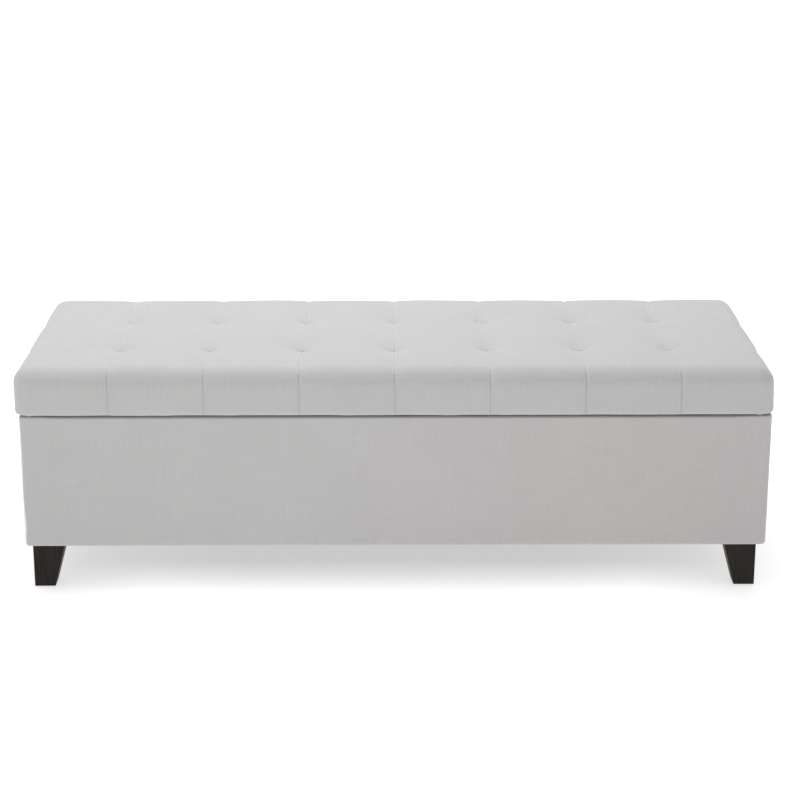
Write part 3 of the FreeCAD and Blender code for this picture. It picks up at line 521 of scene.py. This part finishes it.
# ------------------------------ lid cover
# the relief's widths and depths in metres, and how firmly the cover is held
SEAM_REACH, CREASE_REACH = 0.013, 0.0026
HOLLOW_DEPTH, PINCH_DEPTH, FOLD_DEPTH, FOLD_RISE = 9.8 * MM, 3.2 * MM, 2.3 * MM, 1.5 * MM
HOLLOW_HALF_WIDTH, HOLLOW_TO_FRONT, HOLLOW_TO_BACK = 0.025, 0.026, 0.042
HOLD_EVERYWHERE, HOLD_AT_SEAMS, TUFT_HELD = 0.08, 0.9, 0.006


def seam_relief(x, y, z, low, high):
    """How far the seams and the ends' creases press the cover in: a broad valley with a narrow crease
    at its bottom, shallow in the middle of the top."""
    height = np.clip((z - low.z) / (high.z - low.z), 0, 1)
    on_top = z > high.z - 1e-6
    on_end = (x < low.x + 1e-6) | (x > high.x - 1e-6)
    gap = np.min(np.abs(x[:, None] - seam_xs[None, :]), axis=1)
    row_gap = np.min(np.abs(y[:, None] - tuft_ys[None, :]), axis=1)
    at_edge = np.clip(1.0 - np.minimum(y - low.y, high.y - y) / 0.07, 0, 1)
    valley_on_top = 0.3 * MM + 2.0 * MM * at_edge + 1.0 * MM * np.exp(-row_gap / 0.030)
    crease_on_top = 0.25 * MM + 0.9 * MM * at_edge + 0.8 * MM * np.exp(-row_gap / 0.020)
    valley = np.where(on_top, valley_on_top, 2.6 * MM * height)
    crease = np.where(on_top, crease_on_top, 2.5 * MM)
    depth = valley * np.exp(-gap / SEAM_REACH) + crease * np.exp(-(gap / CREASE_REACH) ** 2)
    dip = np.where(x > 0, 3.2, 2.0) * MM * height ** 2
    depth = np.where(on_end, dip * np.exp(-(row_gap / 0.024) ** 2), depth)
    # low down the board lies close behind the cloth, and at the hem the cloth is flat
    depth = np.where(z < board_high.z + 4 * MM, np.minimum(depth, 2.8 * MM), depth)
    depth = depth * np.clip((z - low.z) / 0.006, 0, 1)
    return depth, (gap < 1e-4) & ~on_end


def lid_relief(where, low, high):
    """How far the tufts, seams and creases press the cover in, in metres, and how firmly it is held."""
    x, y, z = where.T
    on_top = z > high.z - 1e-6
    depth, seam = seam_relief(x, y, z, low, high)
    hold = np.full(len(x), HOLD_EVERYWHERE)
    # tufts: a hollow that is longer than it is wide, a pinch, and a short fold across the seam
    for tx in seam_xs:
        for ty in tuft_ys:
            dx, dy = x - tx, y - ty
            reach = np.hypot(dx / HOLLOW_HALF_WIDTH, dy / np.where(dy > 0, HOLLOW_TO_BACK, HOLLOW_TO_FRONT))
            pinch = np.exp(-(np.hypot(dx / 0.010, dy / 0.008)) ** 1.2)
            turn = noise.noise(Vector((tx * 9.3, ty * 31.7, 4.0)))
            off = dy - 0.35 * turn * dx - 0.004 * (dx / 0.014) ** 2
            wide = 0.013 + 0.004 * noise.noise(Vector((tx * 17.1, ty * 11.9, 8.0)))
            reach_x = np.exp(-np.abs((dx - 0.006 * turn) / wide) ** 2.2)
            depth += np.where(on_top, HOLLOW_DEPTH * np.exp(-reach ** 1.3), 0.0)
            depth += np.where(on_top, PINCH_DEPTH * pinch, 0.0)
            depth += np.where(on_top, FOLD_DEPTH * np.exp(-(off / 0.0030) ** 2) * reach_x, 0.0)
            depth -= np.where(on_top, FOLD_RISE * np.exp(-((off + 0.0095) / 0.0055) ** 2) * reach_x, 0.0)
            hold = np.maximum(hold, np.where(on_top & (np.hypot(dx, dy) < TUFT_HELD), 1.0, 0.0))
    hold = np.where(seam, np.maximum(hold, HOLD_AT_SEAMS), hold)
    hold = np.where(z < low.z + 1e-6, 1.0, hold)
    return depth, hold


def lattice(stops, cells, crowding=0.72):
    """Lattice lines through the stops, crowded together at each."""
    t = np.linspace(0.0, 1.0, cells + 1)[:-1]
    t = t - crowding * np.sin(2 * math.pi * t) / (2 * math.pi)
    lines = [a + (b - a) * t for a, b in zip(stops, stops[1:])]
    return np.concatenate(lines + [[stops[-1]]])


def shaped_lid(name, xs, ys, zs):
    """The lid's cover before it settles: returns the object, its faces, lattice places and hold."""
    low, high = lid_low, lid_high
    points, faces, uvs, where = slab_shell(low, high, xs, ys, zs, LID_ROUND, LID_HEM_RADIUS, LID_HEM_ROWS)
    cover = mesh_object(name, points, faces, linen, uvs)
    depth, hold = lid_relief(where, low, high)
    normals = get_normals(cover)
    # hand-made unevenness: soft lumps, and a hem that isn't quite straight
    lumps = wobble(points, 0.16, 1) * 0.8 * MM + wobble(points, 0.055, 2) * 0.3 * MM
    top = np.clip((points[:, 2] - low.z) / 0.02, 0, 1)
    points = points - normals * (depth + (0.9 * MM - lumps) * top)[:, None]
    lattice_x, lattice_y = where[:, 0], where[:, 1]
    above = np.clip((points[:, 2] - low.z) / (high.z - low.z), 0, 1)
    points[:, 0] += (drawn_x(lattice_x, lattice_y) - lattice_x) * above
    # the right end stands in a little at its top
    stand_in = 4.0 * MM
    points[:, 0] -= stand_in * np.clip((lattice_x - seam_xs[-1]) / 0.16, 0, 1) ** 2 * above ** 2
    # the hem is lifted unevenly along the front, most at its right end, and less under the board
    hem = np.exp(-(points[:, 2] - low.z) / 0.012) * np.clip((-0.18 - points[:, 1]) / 0.05, 0, 1)
    under_board = points[:, 1] > board_low.y - 2.4 * MM
    along = 1.0, 0.0, 0.0
    wave = 1.0 + 1.3 * wobble(points, 0.060, 13, along) + 0.6 * wobble(points, 0.022, 14, along)
    wave += 0.9 * np.clip((lattice_x - 0.40) / 0.12, 0, 1)
    points[:, 2] += np.clip(wave, 0.2, np.where(under_board, 0.75, 2.4)) * MM * hem
    set_points(cover, points)
    return cover, faces, where, hold


def tuft_distance(x, y):
    """Each place's distance from its nearest tuft."""
    tuft_x, tuft_y = np.repeat(seam_xs, len(tuft_ys)), np.tile(tuft_ys, len(seam_xs))
    return np.hypot(x[:, None] - tuft_x, y[:, None] - tuft_y).min(1)


def make_lid_cover():
    across, deep = [lid_low.x, *seam_xs, lid_high.x], [lid_low.y, *tuft_ys, lid_high.y]
    zs = np.linspace(lid_low.z, lid_high.z, 14)
    cover, _, where, _ = shaped_lid("lid_cover_fabric", lattice(across, 26), lattice(deep, 28), zs)
    even = lattice(across, 20, 0.0), lattice(deep, 20, 0.0), np.linspace(lid_low.z, lid_high.z, 11)
    trial, faces, places, hold = shaped_lid("lid_cover_trial", *even)
    settled = puff(trial, hold, pressure=0.7, grow=0.006, frames=24, cap=2.5 * MM)
    moves = smoothed(settled, faces, fixed=hold > 0.95, rounds=14)
    # the foam stays pulled down close to each tuft
    x, y, z = places.T
    give = 1.0 - 0.9 * np.exp(-(tuft_distance(x, y) / 0.035) ** 2)
    moves *= np.where(z > lid_high.z - 1e-6, give, 1.0)[:, None]
    bpy.data.objects.remove(trial)
    set_points(cover, get_points(cover) + carry(places, faces, moves, where))
    make_lid_foam(cover, where)
    subdivide(cover)
    make_seam_stitches(cover)
    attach(cover, "lid")
    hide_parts("lid_cover")


def make_lid_foam(cover, where):
    """The foam under the cover: its skin follows the cover's, and it is hollowed for the board."""
    foam_object = cover.copy()
    foam_object.data = cover.data.copy()
    foam_object.name = foam_object.data.name = "lid_foam_pad"
    bpy.context.scene.collection.objects.link(foam_object)
    foam_object.data.materials.clear()
    foam_object.data.materials.append(foam)
    skin, turned_in, play = 1.8 * MM, 0.010, 0.3 * MM
    points = get_points(foam_object) - get_normals(foam_object) * skin
    points += get_normals(foam_object) * (wobble(points, 0.012, 41) * 0.2 * MM)[:, None]
    set_points(foam_object, points)
    x, y, z = where.T
    inward = rim_distance(x, y, lid_low.x, lid_high.x, lid_low.y, lid_high.y)
    work = bmesh.new()
    work.from_mesh(foam_object.data)
    work.verts.ensure_lookup_table()
    under = z < lid_low.z + 1e-6
    gone = [work.verts[int(i)] for i in np.nonzero(under & (inward > turned_in))[0]]
    bmesh.ops.delete(work, geom=gone, context="VERTS")
    rim = [e for e in work.edges if e.is_boundary]
    for vert in {v for e in rim for v in e.verts}:
        vert.co.x = min(max(vert.co.x, board_low.x - play), board_high.x + play)
        vert.co.y = min(max(vert.co.y, board_low.y - play), board_high.y + play)
        vert.co.z = board_low.z + 0.2 * MM
    grown = bmesh.ops.extrude_edge_only(work, edges=rim)["geom"]
    for vert in (g for g in grown if isinstance(g, bmesh.types.BMVert)):
        vert.co.z = board_high.z + play
    top_rim = [g for g in grown if isinstance(g, bmesh.types.BMEdge) and g.is_boundary]
    bmesh.ops.holes_fill(work, edges=top_rim, sides=0)
    bmesh.ops.recalc_face_normals(work, faces=work.faces)
    work.to_mesh(foam_object.data)
    work.free()
    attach(foam_object, "lid")
    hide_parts("lid_foam")


STITCH, STITCH_GAP, STITCH_RADIUS = 3.0 * MM, 1.3 * MM, 0.40 * MM
STITCH_SIDES = 5
SEAM_HALF = 3.6 * MM


def stitch_row(path, normals, verts, faces, rng):
    """Adds one stitch after another along a path that lies on the cloth."""
    run = np.concatenate([[0.0], np.cumsum(np.linalg.norm(np.diff(path, axis=0), axis=1))])
    heights = np.array([-0.7, 0.35, 0.75, 0.35, -0.7]) * STITCH_RADIUS
    widths = np.array([0.45, 0.95, 1.0, 0.95, 0.45]) * STITCH_RADIUS
    rings = len(widths)
    at = 2 * MM
    while at + STITCH < run[-1]:
        stops = at + STITCH * np.array([0.0, 0.2, 0.5, 0.8, 1.0])
        centres, up = (np.stack([np.interp(stops, run, values[:, k]) for k in range(3)], 1)
                       for values in (path, normals))
        up /= np.linalg.norm(up, axis=1)[:, None]
        along = centres[-1] - centres[0]
        along /= np.linalg.norm(along)
        skew = rng.uniform(-0.08, 0.08)
        first = len(verts)
        for k in range(rings):
            side = np.cross(along, up[k])
            side /= np.linalg.norm(side)
            middle = centres[k] + up[k] * heights[k] + side * skew * (stops[k] - stops[2])
            for turn in range(STITCH_SIDES):
                angle = 2 * math.pi * turn / STITCH_SIDES
                verts.append(middle + (side * math.cos(angle) + up[k] * math.sin(angle)) * widths[k])
        for k in range(rings - 1):
            ring = first + k * STITCH_SIDES
            for turn in range(STITCH_SIDES):
                b = (turn + 1) % STITCH_SIDES
                faces.append((ring + turn, ring + b, ring + STITCH_SIDES + b, ring + STITCH_SIDES + turn))
        last = first + (rings - 1) * STITCH_SIDES
        faces.append(tuple(first + i for i in reversed(range(STITCH_SIDES))))
        faces.append(tuple(last + i for i in range(STITCH_SIDES)))
        at += STITCH + STITCH_GAP * rng.uniform(0.9, 1.15)


def seam_rays(shift):
    """Rays onto the cover from outside, down its back, over the top and down its front, as pairs of a
    start and an aim. shift gives the row's x at a depth y."""
    reach, r = 0.06, LID_ROUND
    top, foot = lid_high.z, lid_low.z + 3 * MM
    back, front = lid_high.y, lid_low.y
    turns = np.linspace(0.05, math.pi / 2 - 0.05, 16)
    rays = [((back + reach, z), (-1, 0)) for z in np.linspace(foot, top - r, 18)]
    for a in turns:
        out, up = math.cos(a), math.sin(a)
        rays.append(((back - r + reach * out, top - r + reach * up), (-out, -up)))
    rays += [((y, top + reach), (0, -1)) for y in np.linspace(back - r, front + r, 170)]
    for a in turns:
        out, up = math.sin(a), math.cos(a)
        rays.append(((front + r - reach * out, top - r + reach * up), (out, -up)))
    rays += [((front - reach, z), (1, 0)) for z in np.linspace(top - r, foot, 18)]
    return [(Vector((shift(y), y, z)), Vector((0, ay, az))) for (y, z), (ay, az) in rays]


def make_seam_stitches(cover):
    """Twin rows of top stitching beside each seam, from the back hem over the top to the front hem."""
    polygons = [tuple(f.vertices) for f in cover.data.polygons]
    tree = BVHTree.FromPolygons([v.co for v in cover.data.vertices], polygons)
    rng = np.random.default_rng(7)
    verts, faces = [], []
    for seam in seam_xs:
        for side in (-SEAM_HALF, SEAM_HALF):
            rays = seam_rays(lambda y, seam=seam, side=side: float(drawn_x(seam, y)) + side)
            hits = [h for h in (tree.ray_cast(*ray) for ray in rays) if h[0] is not None]
            path, normals = (np.array([tuple(h[k]) for h in hits]) for k in (0, 1))
            stitch_row(path, normals, verts, faces, rng)
    obj = mesh_object("lid_seam_stitches", verts, faces, thread)
    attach(obj, "lid")


# ------------------------------ sweeps round the box
def perimeter(half_x, half_y, corner, step, corner_steps=6):
    """Samples round a rounded rectangle: each one's place, from -1 to 1, and its outward normal."""
    samples = []          # the sides in turn: right end, back, left end, front
    for side, (sx, sy) in enumerate(((1, -1), (1, 1), (-1, 1), (-1, -1))):
        start = -math.pi / 2 + side * math.pi / 2
        for i in range(corner_steps + 1):
            angle = start + math.pi / 2 * i / corner_steps
            samples.append((sx, sy, math.cos(angle), math.sin(angle)))
        at_end = side in (0, 2)
        count = max(2, round(2 * ((half_y if at_end else half_x) - corner) / step))
        places = [1 - 2 * i / count for i in range(1, count)]
        samples += [(sx, sy * t, sx, 0.0) if at_end else (sx * t, sy, 0.0, sy) for t in places]
    return samples


def sweep(name, profile, step, material):
    """Sleeve round the box: profile lists (inset, height) from its first edge to its last."""
    centre, half, corner = (box_low + box_high) / 2, (box_high - box_low) / 2, BOX_CORNER
    samples = perimeter(half.x, half.y, corner, step)
    verts, uvs, marks = [], [], []
    run = 0.0
    for row, (inset, z) in enumerate(profile):
        r = max(corner - inset, 0.4 * MM)
        core_x, core_y = half.x - inset - r, half.y - inset - r
        if row:
            run += math.hypot(inset - profile[row - 1][0], z - profile[row - 1][1])
        around = 0.0
        previous = None
        for ux, uy, nx, ny in samples:
            point = Vector((centre.x + ux * core_x + nx * r, centre.y + uy * core_y + ny * r, z))
            outer = Vector((ux * (half.x - corner) + nx * corner, uy * (half.y - corner) + ny * corner))
            around += (outer - previous).length if previous is not None else 0.0
            previous = outer
            verts.append(point)
            uvs.append((around, run))
            marks.append((ux, uy, nx, ny, row))
    n = len(samples)
    faces = []
    for row in range(len(profile) - 1):
        for i in range(n):
            j = (i + 1) % n
            faces.append((row * n + i, row * n + j, (row + 1) * n + j, (row + 1) * n + i))
    obj = mesh_object(name, verts, faces, material, uvs)
    # the last column's cloth coordinate runs on past the start instead of jumping back
    layer = obj.data.uv_layers[0].data
    total = uvs[n - 1][0] + (Vector(verts[0][:2]) - Vector(verts[n - 1][:2])).length
    for polygon in obj.data.polygons:
        us = [layer[i].uv[0] for i in polygon.loop_indices]
        if max(us) - min(us) > total / 2:
            for i in polygon.loop_indices:
                if layer[i].uv[0] < total / 2:
                    layer[i].uv[0] += total
    return obj, np.array(marks)


def arc(inset, z, radius, start, end, steps):
    """Profile points on an arc round (inset, z); angles in degrees, 0 towards the outside."""
    angles = np.radians(np.linspace(start, end, steps + 1))
    return [(inset - radius * math.cos(a), z + radius * math.sin(a)) for a in angles]


def line(a, b, step):
    """Profile points on a straight stretch, about step apart."""
    dx, dz = b[0] - a[0], b[1] - a[1]
    count = max(1, round(math.hypot(dx, dz) / step))
    return [(a[0] + dx * i / count, a[1] + dz * i / count) for i in range(count + 1)]


def chain(*parts):
    """One profile from several, without repeated points."""
    profile = []
    for part in parts:
        for point in part:
            if not profile or math.hypot(point[0] - profile[-1][0], point[1] - profile[-1][1]) > 1e-6:
                profile.append(point)
    return profile


# ------------------------------ box cover
RIM_AND_LIP_ROWS = 14      # the box cover's last profile points: its rim's flat top and what follows


def make_box_cover():
    low, high = box_low, box_high
    roll, rim, turn = 5.0 * MM, 3.6 * MM, 2.5 * MM
    lip_start, lip = CAVITY - 1.5 * MM, CAVITY + 1.0 * MM
    profile = chain(
        line((HEM, low.z), (roll, low.z), 7 * MM), arc(roll, low.z + roll, roll, -90, 0, 4),
        line((0.0, low.z + roll), (0.0, high.z - rim), 7 * MM), arc(rim, high.z - rim, rim, 0, 90, 5),
        line((rim, high.z), (lip_start, high.z), 4 * MM), arc(lip_start, high.z - turn, -turn, -90, 0, 3),
        line((lip, high.z - turn), (lip, high.z - LIP), 5 * MM))
    cover, marks = sweep("box_cover_fabric", profile, 7 * MM, box_linen)
    points = get_points(cover)
    normals = get_normals(cover)
    x, y, z = points.T
    outside = marks[:, 4] < len(profile) - RIM_AND_LIP_ROWS
    wall = np.clip(np.minimum(z - low.z, high.z - z) / 0.03, 0, 1) * outside
    lumps = wobble(points, 0.24, 5) * 0.8 * MM + wobble(points, 0.05, 6, (1.0, 1.0, 0.35)) * 0.25 * MM
    ends = np.minimum(x - low.x, high.x - x)
    pull = np.exp(-ends / 0.05) * wobble(points, 0.03, 9, (0.3, 1.0, 1.0)) * 0.5 * MM
    edge = np.clip((high.z - z) / 0.008, 0, 1) * np.clip((z - low.z) / 0.004, 0, 1)
    unevenness = (wobble(points, 0.035, 11) * 0.4 - 0.2) * MM
    push = (lumps + pull - 0.4 * MM) * wall + unevenness * (1 - wall) * edge
    points = points + normals * push[:, None]
    # at both ends the cover sits a little to the right
    points[:, 0] += 2.0 * MM * np.clip(np.abs(x) / high.x, 0, 1) ** 8 * outside
    # the padded rim sags a little between the bumpers at its front corners
    before_panel = np.clip((panel_front + 0.5 * MM - y) / 0.003, 0, 1)
    sag = 0.9 * MM * np.clip((z - high.z + 0.02) / 0.02, 0, 1) * before_panel
    sag += 0.3 * MM * np.clip((0.005 - high.z + z) / 0.004, 0, 1) * (y < -0.19)
    points[:, 2] -= sag * np.clip((high.x - 0.035 - np.abs(x)) / 0.03, 0, 1)
    set_points(cover, points)
    subdivide(cover)
    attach(cover, "box")
    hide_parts("box_cover")


def make_box_wadding():
    skin, loft, step = 1.6 * MM, 3.0 * MM, 24 * MM
    outer = line((skin, box_low.z + 4 * MM), (skin, box_high.z - 6 * MM), step)
    inner = [(skin + loft, z) for _, z in reversed(outer)]
    over_top, under = (skin + loft / 2, box_high.z - 2.0 * MM), (skin + loft / 2, box_low.z + 3 * MM)
    profile = chain(outer, [over_top], inner, [under], outer[:1])
    profile.append(outer[0])
    wad, _ = sweep("box_wadding", profile, step, wadding)
    points = get_points(wad)
    points += get_normals(wad) * (wobble(points, 0.03, 3) * 0.12 * MM)[:, None]
    set_points(wad, points)
    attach(wad, "box")
    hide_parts("box_padding")


# ------------------------------ linings and dust covers
def sheet_grid(name, x0, x1, y0, y1, z, thick, step, material, seed, sag=0.0, ripple=0.3 * MM, fold=0.0):
    """Thin cloth panel, closed, with a folded edge and slight ripples. sag hangs its middle down."""
    nx, ny = round((x1 - x0) / step), round((y1 - y0) / step)
    xs, ys = np.linspace(x0, x1, nx + 1), np.linspace(y0, y1, ny + 1)
    grid = np.array([(x, y, z) for y in ys for x in xs])
    u = (grid[:, 0] - x0) / (x1 - x0)
    v = (grid[:, 1] - y0) / (y1 - y0)
    rim = rim_distance(grid[:, 0], grid[:, 1], x0, x1, y0, y1)
    hang = sag * 16 * u * (1 - u) * v * (1 - v)
    grid[:, 2] += (wobble(grid, 0.09, seed) * ripple - hang) * np.clip(rim / 0.03, 0, 1)
    row = nx + 1
    corners = [j * row + i for j in range(ny) for i in range(nx)]
    faces = [(c, c + 1, c + row + 1, c + row) for c in corners]
    obj = mesh_object(name, grid, faces, material, grid[:, :2])
    if fold:
        grid[:, 2] -= fold * (rim < step * 1.5)
        set_points(obj, grid)
    mod = obj.modifiers.new("thick", "SOLIDIFY")
    mod.thickness = thick
    mod.offset = 1.0
    apply_modifiers(obj)
    return obj


def make_linings():
    skin, turn = 1.0 * MM, 0.5 * MM
    top, bottom, inset = box_high.z - LIP, lining_foot + skin, CAVITY + skin
    profile = chain(line((inset, bottom), (inset, top - skin), 12 * MM),
                    arc(CAVITY + turn, top - skin, -turn, 180, 90, 2))
    walls, marks = sweep("wall_lining_cloth", profile, 14 * MM, lining_cloth)
    points = get_points(walls)
    middle = np.clip(np.minimum(points[:, 2] - bottom, top - points[:, 2]) / 0.02, 0, 1)
    outward = np.sign(marks[:, 2:4]) * (np.abs(marks[:, 2:4]) > 0.9)
    away = np.stack([-outward[:, 0], -outward[:, 1], 0 * middle], 1)
    points += away * ((0.25 + 0.25 * wobble(points, 0.10, 21)) * MM * middle)[:, None]
    set_points(walls, points)
    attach(walls, "box")
    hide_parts("wall_lining")

    edge = inset + 1.2 * MM
    x0, x1, y0, y1 = box_low.x + edge, box_high.x - edge, box_low.y + edge, box_high.y - edge
    floor = sheet_grid("floor_lining_cloth", x0, x1, y0, y1, floor_top + 0.1 * MM, thick=0.8 * MM,
                       step=12 * MM, material=lining_cloth, seed=23, ripple=0.15 * MM)
    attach(floor, "box")
    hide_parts("floor_lining")


def staples(name, places, body):
    """Flat wire staples lying on the cloth: places are (x, y, z, along x or y, up or down)."""
    verts, faces = [], []
    crown, wire, dip = 5.5 * MM, 0.6 * MM, 0.3 * MM
    for x, y, z, along_x, face in places:
        thick = face * wire * 0.8
        section = [(-wire, 0.0), (-wire * 0.7, thick), (wire * 0.7, thick), (wire, 0.0)]
        ends = [(-crown, -face * dip), (-crown * 0.9, 0.0), (crown * 0.9, 0.0), (crown, -face * dip)]
        first = len(verts)
        for t, dz in ends:
            for s, h in section:
                dx, dy = (t, s) if along_x else (s, t)
                verts.append((x + dx, y + dy, z + h + dz))
        for ring in range(first, first + 12, 4):
            for b in range(4):
                c = (b + 1) % 4
                faces.append((ring + b, ring + c, ring + 4 + c, ring + 4 + b))
        faces.append(tuple(range(first, first + 4)))
        faces.append(tuple(range(first + 15, first + 11, -1)))
    obj = mesh_object(name, verts, faces, staple_steel, smooth=False)
    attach(obj, body)


def edge_places(x0, x1, y0, y1, z, spacing, face, inset, keep):
    """Places for staples along the four edges of a rectangle, where keep(x, y) allows one."""
    places = []
    for count, along_x in ((round((x1 - x0) / spacing), True), (round((y1 - y0) / spacing), False)):
        for i in range(count):
            for side in (0, 1):
                shift = 1.5 * MM * noise.noise(Vector((i * 1.7, side * 9.1, z * 50 + along_x)))
                if along_x:
                    x = x0 + (x1 - x0) * (i + 0.5) / count + shift
                    y = (y0 + inset if side == 0 else y1 - inset) + shift
                else:
                    y = y0 + (y1 - y0) * (i + 0.5) / count + shift
                    x = (x0 + inset if side == 0 else x1 - inset) + shift
                if keep(x, y):
                    places.append((x, y, z, along_x, face))
    return places


def make_dust_cover(name, low, high, body, node, obstacle, seed, sag, over):
    """Black cloth stapled on underneath, larger than its CAD node by over all round. No staples go
    where a node whose name ends in obstacle is in the way."""
    x0, x1, y0, y1 = low.x - over, high.x + over, low.y - over, high.y + over
    z = low.z - 0.15 * MM
    cloth = sheet_grid(name, x0, x1, y0, y1, z, thick=0.35 * MM, step=9 * MM, material=dust_cloth,
                       seed=seed, sag=sag, ripple=0.25 * MM, fold=0.1 * MM)
    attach(cloth, body)
    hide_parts(node)
    blocked = [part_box(n) for n in frame["nodes"] if n.endswith(obstacle)]
    pad = 8 * MM

    def clear(x, y):
        return not any(a.x - pad < x < b.x + pad and a.y - pad < y < b.y + pad for a, b in blocked)

    places = edge_places(x0, x1, y0, y1, z - 0.3 * MM, 55 * MM, -1.0, 6 * MM, clear)
    staples(name.replace("cloth", "staples"), places, body)


# ------------------------------ studio
def make_floor():
    """White floor that glows, as painted light: weaker under and near the bench, as painted shadow, and
    stronger away from it so that it meets the white world.
    """
    half = 60.0
    verts = [(-half, -half, 0), (half, -half, 0), (half, half, 0), (-half, half, 0)]
    n = Nodes("studio_floor")
    tone = n.noise(n.coords(), 3.0, 2.0, 0.5)
    reach = n.new("VectorMath")
    reach.operation = "LENGTH"
    n.link(n.coords(), reach.inputs[0])
    painted_shadow_glow_near, glow_far, front_painted_light_strength = 0.55, 0.97, 0.25
    glow = n.remap(reach.outputs["Value"], 0.3, 2.2, painted_shadow_glow_near, glow_far)
    side, ahead, _ = n.split(n.coords())
    # painted light: extra glow just in front of the bench, fading out beyond the legs, lightens the painted
    # shadow's front edge
    painted_light_between_legs = n.remap(n.math("ABSOLUTE", side), 0.42, 0.60, 1.0, 0.2)
    front_painted_light = n.remap(ahead, -0.115, -0.26, 0.0, front_painted_light_strength)
    glow = n.math("MULTIPLY_ADD", front_painted_light, painted_light_between_legs, glow)
    n.set(n.shader, "Emission Strength", glow)
    mat = n.finish(n.mix(tone, (0.49, 0.49, 0.49), (0.51, 0.51, 0.51)), 0.7, Specular_IOR_Level=0.1,
                   Emission_Color=(1.0, 0.99, 0.985, 1.0))
    floor = mesh_object("studio_floor", verts, [(0, 1, 2, 3)], mat)


def make_key_light():
    """One wide light, slightly behind the bench, so that the tufts' hollows show a dark rear slope."""
    data = bpy.data.lights.new("key_above", "AREA")
    data.shape = "RECTANGLE"
    data.size, data.size_y = 4.0, 1.0
    data.energy = 61.0
    place, target = Vector((-0.3, 0.60, 2.7)), Vector((0.0, 0.0, 0.3))
    light = bpy.data.objects.new("key_above", data)
    light.location = place
    light.rotation_euler = (target - place).to_track_quat("-Z", "Y").to_euler()
    bpy.context.scene.collection.objects.link(light)


def make_studio():
    world = bpy.data.worlds.new("studio")
    bpy.context.scene.world = world
    world.use_nodes = True
    background = world.node_tree.nodes["Background"]
    background.inputs["Color"].default_value = (1.0, 1.0, 1.0, 1.0)
    background.inputs["Strength"].default_value = 0.65
    make_key_light()
    make_floor()
    bpy.context.scene.view_settings.view_transform = "Standard"


def make_camera():
    """The photo's camera, worked out from the bench's outline and edges."""
    data = bpy.data.cameras.new("camera")
    data.sensor_width = 36.0
    data.lens = 92.75
    data.clip_end = 60.0
    camera = bpy.data.objects.new("camera", data)
    camera.location = (-0.0140, -3.5666, 1.3691)
    camera.rotation_euler = (math.radians(90.0 - 17.16), 0.0, math.radians(-0.394))
    bpy.context.scene.collection.objects.link(camera)
    bpy.context.scene.camera = camera


# ------------------------------ the scene
make_lid_cover()
make_box_cover()
make_box_wadding()
make_linings()
make_dust_cover("box_dust_cloth", dust_low, dust_high, "box", "box_dust_cover",
                obstacle="_leg", seed=31, sag=3.0 * MM, over=12.0 * MM)
make_dust_cover("lid_dust_cloth", lid_dust_low, lid_dust_high, "lid", "lid_dust_cover",
                obstacle="_lid_bracket", seed=37, sag=0.0, over=21.0 * MM)
make_studio()
make_camera()
